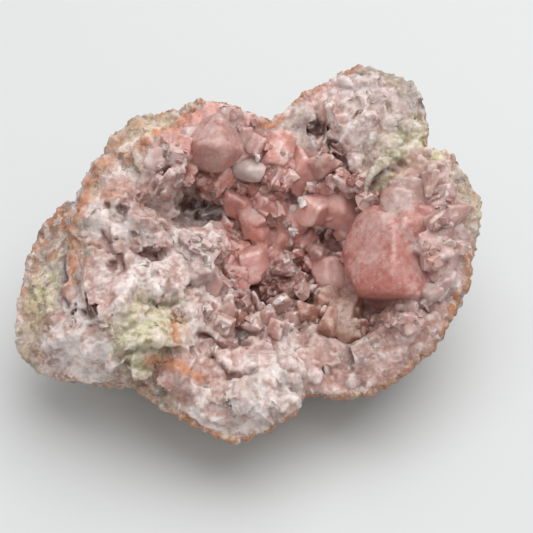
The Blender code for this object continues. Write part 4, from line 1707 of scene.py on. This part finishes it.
    def finish(self, material: bpy.types.Material, smooth: bool, voxel: float = 0.0) -> bpy.types.Object:
        """Turns the crystals to one piece of the object.

        Args:
            material: Its material.
            smooth: Whether its faces are shaded as one skin.
            voxel: The mesh size in millimetres of crystals that are grown together, or 0 for loose ones.

        Returns:
            The piece.
        """
        if voxel:
            piece = new_piece(self.name, self.bm.copy(), (material,))
            fuse(piece, voxel, 0)
            self.weather(piece.data)
        else:
            piece = new_piece(self.name, self.bm, (material,))
            paint(piece.data, np.vstack(self.tints))
        piece.data.polygons.foreach_set("use_smooth", [smooth] * len(piece.data.polygons))
        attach(piece, BODY)
        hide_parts("crystal_crust")
        return piece


@dataclass
class Crust:
    """The crystals of the hollow and the broken quartz round it, from the largest to the smallest."""

    ground: Ground
    tints: Tints
    rim: Rim
    seed: int = 11
    ceiling: float = 0.054  # how high the crystals may reach, in metres
    medium_count: int = 115
    lump_count: int = 340
    sharp_count: int = 45
    small_count: int = 210
    large_voxel: float = 0.375  # the size of the mesh on each kind, in millimetres
    medium_voxel: float = 0.355
    rng: random.Random = field(init=False)
    cutter: Cutter = field(init=False)

    # Where each kind is tried: the ranges of u and v.
    MEDIUM_RANGES = ((-26, 48), (-27, 35))
    SHARP_RANGES = ((-24, 47), (-23, 30))
    WHOLE_FACE = ((-50, 53), (-43, 42))
    # The widths that each kind comes in, in millimetres.
    MEDIUM_WIDTHS = (3.5, 5.0, 6.5, 8.0)
    SHARP_WIDTHS = (2.0, 3.0, 4.0)
    LUMP_WIDTHS = (3.0, 5.0, 7.0, 9.0, 11.0)
    SMALL_WIDTHS = (0.7, 2.0)  # the least and the most
    SPREAD = (0.8, 1.2)  # how much narrower or wider than that one crystal may be
    # The edge of the crust: u, v, anticlockwise from the right.
    EDGE = (
        (47, 5), (46, 12), (38, 12), (28, 14), (22, 19), (14, 22), (6, 24), (1, 27), (-6, 28),
        (-12, 27), (-19, 23.5), (-23, 19), (-20, 13), (-15, 5), (-13, -4), (-12, -13), (-9, -17.5),
        (0, -18.5), (10, -19), (20, -20), (30, -18), (39, -17), (45, -8),
    )

    def __post_init__(self) -> None:
        """Sets up chance and the stock of crystals."""
        self.rng = random.Random(self.seed)
        self.cutter = Cutter(self.rng)

    def colour(self, hue: Hue, vary: float = 0.12) -> np.ndarray:
        """A hue's linear colour, a little lighter or darker each time."""
        return hue.rgb * self.rng.uniform(1 - vary, 1 + vary * 0.5)

    def matrix(self, point: Vector, way: Vector, across: float, length: float, sunk: float) -> Matrix:
        """Where a crystal goes.

        Args:
            point: The surface point that it stands on, in metres.
            way: The direction that it grows in.
            across: Its width in millimetres.
            length: Its height in millimetres.
            sunk: The share of its height that is below the surface.

        Returns:
            The matrix that takes the unit crystal there.
        """
        over = (point + way * length * (1 - sunk) * MM).z - self.ceiling
        if over > 0:
            point = point - way * over / max(way.z, 0.3)
        turn = way.to_track_quat("Z", "Y").to_matrix().to_4x4()
        spin = Matrix.Rotation(self.rng.uniform(0, math.tau), 4, "Z")
        size = Matrix.Diagonal((across * MM, across * MM, length * MM, 1))
        return Matrix.Translation(point - way * length * sunk * MM) @ turn @ spin @ size

    def inside(self, u: float, v: float) -> bool:
        """Whether a place is within the crust's edge.

        Args:
            u: The place to the right, in millimetres.
            v: The place up the face.

        Returns:
            True if it is.
        """
        crossings = False
        for (u0, v0), (u1, v1) in zip(self.EDGE, self.EDGE[1:] + self.EDGE[:1]):
            if (v0 > v) != (v1 > v) and u < u0 + (u1 - u0) * (v - v0) / (v1 - v0):
                crossings = not crossings
        return crossings

    def large(self) -> bpy.types.Object:
        """Grows the large crystals, each with smaller ones that grew parallel to it.

        Returns:
            The piece.
        """
        growth = Growth("large_crystals", cloud=7.0, milkiness=0.32, upper_whiteness=0.24)
        right, up, out = (Vector(axis) for axis in FACE.axes)
        for crystal in LARGE:
            foot = self.ground.under(crystal.u, crystal.v)
            if foot is None:
                continue
            way = foot.normal * 0.4 + out * 0.6
            way += right * math.tan(math.radians(crystal.right)) + up * math.tan(math.radians(crystal.up))
            way.normalize()
            # Each crystal has a seed of its own, so that a change to one leaves the others as they are.
            self.rng.seed(round(crystal.u * 977 + crystal.v * 31))
            stock = self.cutter.cut(crystal.form, worn=0.05)
            tip = self.colour(crystal.hue, 0.06)
            sunk = 0.5 - crystal.rise
            matrix = self.matrix(foot.point, way, crystal.across, max(crystal.length, crystal.across), sunk)
            growth.add(stock, matrix, tip * 0.85, tip)
            for _ in range(crystal.brood):
                share = self.rng.uniform(0.3, 0.55)
                off = self.aside(0.45, 0.1, 0.3)
                side = Matrix.Translation(off) @ Matrix.Scale(share, 4)
                growth.add(stock, matrix @ side, tip * 0.85, self.colour(crystal.hue, 0.1))
            bpy.data.meshes.remove(stock)
        return growth.finish(CRYSTAL.material(), smooth=True, voxel=self.large_voxel)

    def medium(self) -> bpy.types.Object:
        """Fills the gaps between the large crystals with clusters of parallel ones.

        Returns:
            The piece.
        """
        self.rng.seed(self.seed)
        growth = Growth("medium_crystals")
        stock = [self.cutter.cut(form) for form in (B, B, B, C, C, C, P, S) for _ in range(4)]
        for u, v, foot in self.spots(self.medium_count, self.MEDIUM_RANGES, self.gap):
            way = (foot.normal + FACE.out * 0.5 + self.wobble(0.5)).normalized()
            across = self.rng.choice(self.MEDIUM_WIDTHS) * self.rng.uniform(*self.SPREAD)
            across *= 0.6 if v < -12 else 1.0  # finer along the lower edge
            tint = self.tint(u, v)
            crystal = self.rng.choice(stock)
            matrix = self.matrix(foot.point, way, across, across * 1.2, 0.55)
            self.cluster(growth, crystal, matrix, tint)
        return growth.finish(DRUSE.material(), smooth=True, voxel=self.medium_voxel)

    def sharp(self) -> bpy.types.Object:
        """Sets clear, sharp-edged crystals on the crust.

        Returns:
            The piece.
        """
        growth = Growth("sharp_crystals", frosting=0.4)
        stock = [self.cutter.cut(form) for form in (B, B, P, C, C) for _ in range(5)]
        # Tiny white crystals as painted highlights, where glints show.
        for u, v, across in GLINT_CRYSTALS:
            foot = self.ground.under(u, v)
            way = (foot.normal + FACE.out + self.wobble(0.4)).normalized()
            frost = self.colour(Hue.FROST, 0.05)
            crystal = self.rng.choice(stock)
            growth.add(crystal, self.matrix(foot.point, way, across, across * 1.3, 0.3), frost, frost)
        for u, v, foot in self.spots(self.sharp_count, self.SHARP_RANGES, self.perch):
            tint = self.tint(u, v) * self.rng.uniform(0.95, 1.1)
            way = (foot.normal * 0.6 + FACE.out * 0.5 + self.wobble(0.45)).normalized()
            across = self.rng.choice(self.SHARP_WIDTHS) * self.rng.uniform(*self.SPREAD)
            matrix = self.matrix(foot.point, way, across, across * self.rng.uniform(1.0, 1.5), 0.65)
            crystal = self.rng.choice(stock)
            growth.add(crystal, matrix, tint * 0.95, blend(tint, Hue.MILK.rgb, self.rng.uniform(0.0, 0.5)))
        return growth.finish(CLEAR.material(), smooth=False)

    def spots(
        self,
        count: int,
        ranges: tuple[tuple[float, float], tuple[float, float]],
        suits: Callable[[float, float, Footing], bool],
    ) -> Iterator[tuple[float, float, Footing]]:
        """Finds random places that suit.

        Args:
            count: How many.
            ranges: The ranges of u and v.
            suits: Whether a place with this footing will do.

        Yields:
            u, v and the footing of each.
        """
        across, up = ranges
        while count:
            u, v = self.rng.uniform(*across), self.rng.uniform(*up)
            foot = self.ground.under(u, v)
            if foot is not None and suits(u, v, foot):
                count -= 1
                yield u, v, foot

    def gap(self, u: float, v: float, foot: Footing) -> bool:
        """Whether a medium crystal grows at a place: on the stone, hardly ever on a large crystal.

        Args:
            u: The place to the right, in millimetres.
            v: The place up the face.
            foot: What it would stand on.

        Returns:
            True if one grows.
        """
        if not self.inside(u, v) or self.cleared(u, v):
            return False
        return foot.layer == "nodule_stone" or self.rng.random() >= 0.99

    def perch(self, u: float, v: float, foot: Footing) -> bool:
        """Whether a sharp crystal grows at a place: seldom on a large crystal.

        Args:
            u: The place to the right, in millimetres.
            v: The place up the face.
            foot: What it would stand on.

        Returns:
            True if one grows.
        """
        if not self.inside(u, v) or self.cleared(u, v):
            return False
        return foot.layer != "large_crystals" or self.rng.random() >= 0.93

    def quarry(self, u: float, v: float, foot: Footing) -> bool:
        """Whether a lump of broken quartz lies at a place: inside the rind, seldom in the hollow.

        Args:
            u: The place to the right, in millimetres.
            v: The place up the face.
            foot: What it would lie on, which makes no difference here.

        Returns:
            True if one lies there.
        """
        if self.room(u, v) < 0.5 or (self.inside(u, v) and self.rng.random() < 0.7):
            return False
        return calm(np.array([[u, v, 0.0]]))[0] <= 0.3 and not self.cleared(u, v)

    def frosted(self, u: float, v: float, foot: Footing) -> bool:
        """Whether a small crystal grows at a place: in drifts on the crust, seldom on the large faces.

        Args:
            u: The place to the right, in millimetres.
            v: The place up the face.
            foot: What it would stand on.

        Returns:
            True if one grows.
        """
        drift = noise.noise(Vector((u, v, 3.0)) / 4.5)
        if self.cleared(u, v):
            return False
        if foot.layer == "large_crystals":
            return drift > 0.45 or self.rng.random() < 0.015
        if self.inside(u, v):
            return drift > -0.05 or self.rng.random() < 0.2
        return drift > 0.35 and self.rng.random() < 0.25 and self.rim.rind(np.array([[u, v, 0.0]]))[0] < 0.2

    def room(self, u: float, v: float) -> float:
        """How far a place is inside the rind, in millimetres."""
        margin, width = self.rim.margin(np.array([[u, v, 0.0]]))
        return float(margin[0] - width[0])

    def tint(self, u: float, v: float) -> np.ndarray:
        """The linear colour of one place of the broken face."""
        return self.tints.at(np.array([[u, v, 0.0]]))[0]

    @staticmethod
    def cleared(u: float, v: float) -> bool:
        """Whether a place is in one of the gaps between the crystals."""
        return any(math.hypot(u - place[0], v - place[1]) < place[2] for place in CLEARINGS)

    def cluster(self, growth: Growth, stock: bpy.types.Mesh, matrix: Matrix, tint: np.ndarray) -> None:
        """Adds one crystal with a few smaller ones that grew parallel to it.

        Args:
            growth: The mesh that they join.
            stock: The crystal at unit size.
            matrix: Where the main one goes.
            tint: Their linear colour.
        """
        growth.add(stock, matrix, tint * 0.85, tint * self.rng.uniform(0.9, 1.06))
        for _ in range(self.rng.choice((1, 1, 2))):
            off = self.aside(0.6, 0.0, 0.35)
            side = Matrix.Translation(off) @ Matrix.Scale(self.rng.uniform(0.5, 0.75), 4)
            growth.add(stock, matrix @ side, tint * 0.85, tint * self.rng.uniform(0.9, 1.08))

    def aside(self, by: float, low: float, high: float) -> Vector:
        """A place beside a crystal: up to so far to each side, and between two heights."""
        return Vector((self.rng.uniform(-by, by), self.rng.uniform(-by, by), self.rng.uniform(low, high)))

    def wobble(self, by: float) -> Vector:
        """A small push in any direction."""
        return Vector([self.rng.uniform(-by, by) for _ in range(3)])

    def lumps(self) -> Growth:
        """Breaks the quartz round the hollow into flat-faced lumps, which become one with the stone.

        Returns:
            The lumps, which aren't a piece of their own.
        """
        growth = Growth("broken_quartz")
        stock = [self.cutter.cut(form) for form in (C, C, C, C, S) for _ in range(5)]
        plates = [self.cutter.cut(S) for _ in range(8)]
        right, up, _ = (Vector(axis) for axis in FACE.axes)
        for u, v, across, hue in MOUNDS:
            foot = self.ground.under(u, v)
            matrix = self.matrix(foot.point, foot.normal, across, across * 0.6, 0.5)
            colour = self.colour(hue)
            growth.add(self.cutter.cut(M), matrix, colour, colour)
        for u, v, foot in self.spots(self.lump_count, self.WHOLE_FACE, self.quarry):
            tint = self.tint(u, v) * self.rng.uniform(0.8, 1.08)
            across = self.rng.choice(self.LUMP_WIDTHS) * self.rng.uniform(*self.SPREAD)
            across = min(across, 1.5 + 1.2 * self.room(u, v))  # smaller next to the rind
            if u > 8 and v > 16:  # the slab at the top right, which breaks into upright plates
                way = (foot.normal * 0.5 + right * 0.5 + up * 0.8 + self.wobble(0.35)).normalized()
                matrix = self.matrix(foot.point, way, across * 0.85, across * 1.25, 0.6)
                lump = self.rng.choice(plates)
            else:
                way = (foot.normal + self.wobble(0.4)).normalized()
                matrix = self.matrix(foot.point, way, across, across * self.rng.uniform(0.4, 0.65), 0.7)
                lump = self.rng.choice(stock)
            growth.add(lump, matrix, tint * 0.9, tint)
        return growth

    def small(self) -> bpy.types.Object:
        """Frosts the crust, and the broken quartz round it, with small crystals.

        Returns:
            The piece.
        """
        growth = Growth("small_crystals")
        stock = [self.cutter.cut(form) for form in (B, P, C, C, S) for _ in range(5)]
        for u, v, foot in self.spots(self.small_count, self.WHOLE_FACE, self.frosted):
            tint = blend(self.tint(u, v), Hue.BLUSH.rgb, self.rng.uniform(0.0, 0.35))
            way = (foot.normal + self.wobble(0.8)).normalized()
            across = self.rng.uniform(*self.SMALL_WIDTHS)
            length = across * self.rng.uniform(0.8, 1.8)
            matrix = self.matrix(foot.point, way, across, length, 0.5)
            growth.add(self.rng.choice(stock), matrix, tint * 0.92, tint)
        return growth.finish(bpy.data.materials[DRUSE.name], smooth=False)


@dataclass
class Studio:
    """The pale floor, the soft light and the camera."""

    lens: float = 100.0
    sensor: float = 36.0
    floor_tint: str = "D2D4D4"
    floor_reach: float = 3.0  # this and the places below in metres
    sky_strength: float = 0.6
    key_power: float = 3.7
    key_size: float = 0.7
    key_place: tuple[float, float, float] = (0.10, 0.10, 0.62)
    key_aim: tuple[float, float, float] = (0.0, 0.0, 0.03)

    def build(self) -> None:
        """Sets up everything that isn't part of the object."""
        self.floor()
        self.light()
        self.camera()
        bpy.context.scene.view_settings.view_transform = "Standard"

    def floor(self) -> None:
        """Lays a wide floor of pale, matt paper."""
        bm = bmesh.new()
        bmesh.ops.create_grid(bm, x_segments=1, y_segments=1, size=self.floor_reach)
        material = bpy.data.materials.new("pale_paper_floor")
        material.use_nodes = True
        shader = material.node_tree.nodes["Principled BSDF"]
        shader.inputs["Base Color"].default_value = linear(self.floor_tint)
        shader.inputs["Roughness"].default_value = 0.8
        new_piece("studio_floor", bm, (material,))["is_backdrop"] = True

    def light(self) -> None:
        """Hangs one large soft light high behind the object, in a white room."""
        world = bpy.data.worlds.new("white room")
        bpy.context.scene.world = world
        world.use_nodes = True
        sky = world.node_tree.nodes["Background"]
        sky.inputs["Color"].default_value = (1.0, 1.0, 1.0, 1.0)
        sky.inputs["Strength"].default_value = self.sky_strength
        lamp = bpy.data.lights.new("softbox", "AREA")
        lamp.size = self.key_size
        lamp.energy = self.key_power
        softbox = bpy.data.objects.new("softbox", lamp)
        softbox.location = self.key_place
        aim = Vector(self.key_aim) - softbox.location
        softbox.rotation_euler = aim.to_track_quat("-Z", "Y").to_euler()
        bpy.context.scene.collection.objects.link(softbox)

    def camera(self) -> None:
        """Looks straight at the broken face."""
        lens = bpy.data.cameras.new("camera")
        lens.lens = self.lens
        lens.sensor_width = self.sensor
        camera = bpy.data.objects.new("camera", lens)
        camera.location = FACE.place(*FACE.fan_centre, 0.0) + FACE.out * FACE.fan_depth * MM
        camera.rotation_euler = (-FACE.out).to_track_quat("-Z", "Y").to_euler()
        bpy.context.scene.collection.objects.link(camera)
        bpy.context.scene.camera = camera


def plain(bounds: Sequence[Sequence[float]]) -> list[list[float]]:
    """Turns a box's corners to plain lists."""
    return [[float(value) for value in corner] for corner in bounds]


def main() -> None:
    """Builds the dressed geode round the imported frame."""
    logging.basicConfig(level=logging.INFO, format="%(message)s")
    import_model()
    cad_box = plain(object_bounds())
    Studio().build()
    tints, ground = Tints(), Ground()
    shell = Nodule(tints)
    ground.add(shell.plain)
    crust = Crust(ground, tints, shell.rim)
    nodule = shell.build(crust.lumps())
    LOG.info("%s: %d faces", nodule.name, len(nodule.data.polygons))
    ground.add(nodule)
    for grow in (crust.large, crust.medium, crust.sharp, crust.small):
        piece = grow()
        ground.add(piece)
        LOG.info("%s: %d faces", piece.name, len(piece.data.polygons))
    {"cad": cad_box, "visual": plain(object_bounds())}


if __name__ == "__main__":
    main()
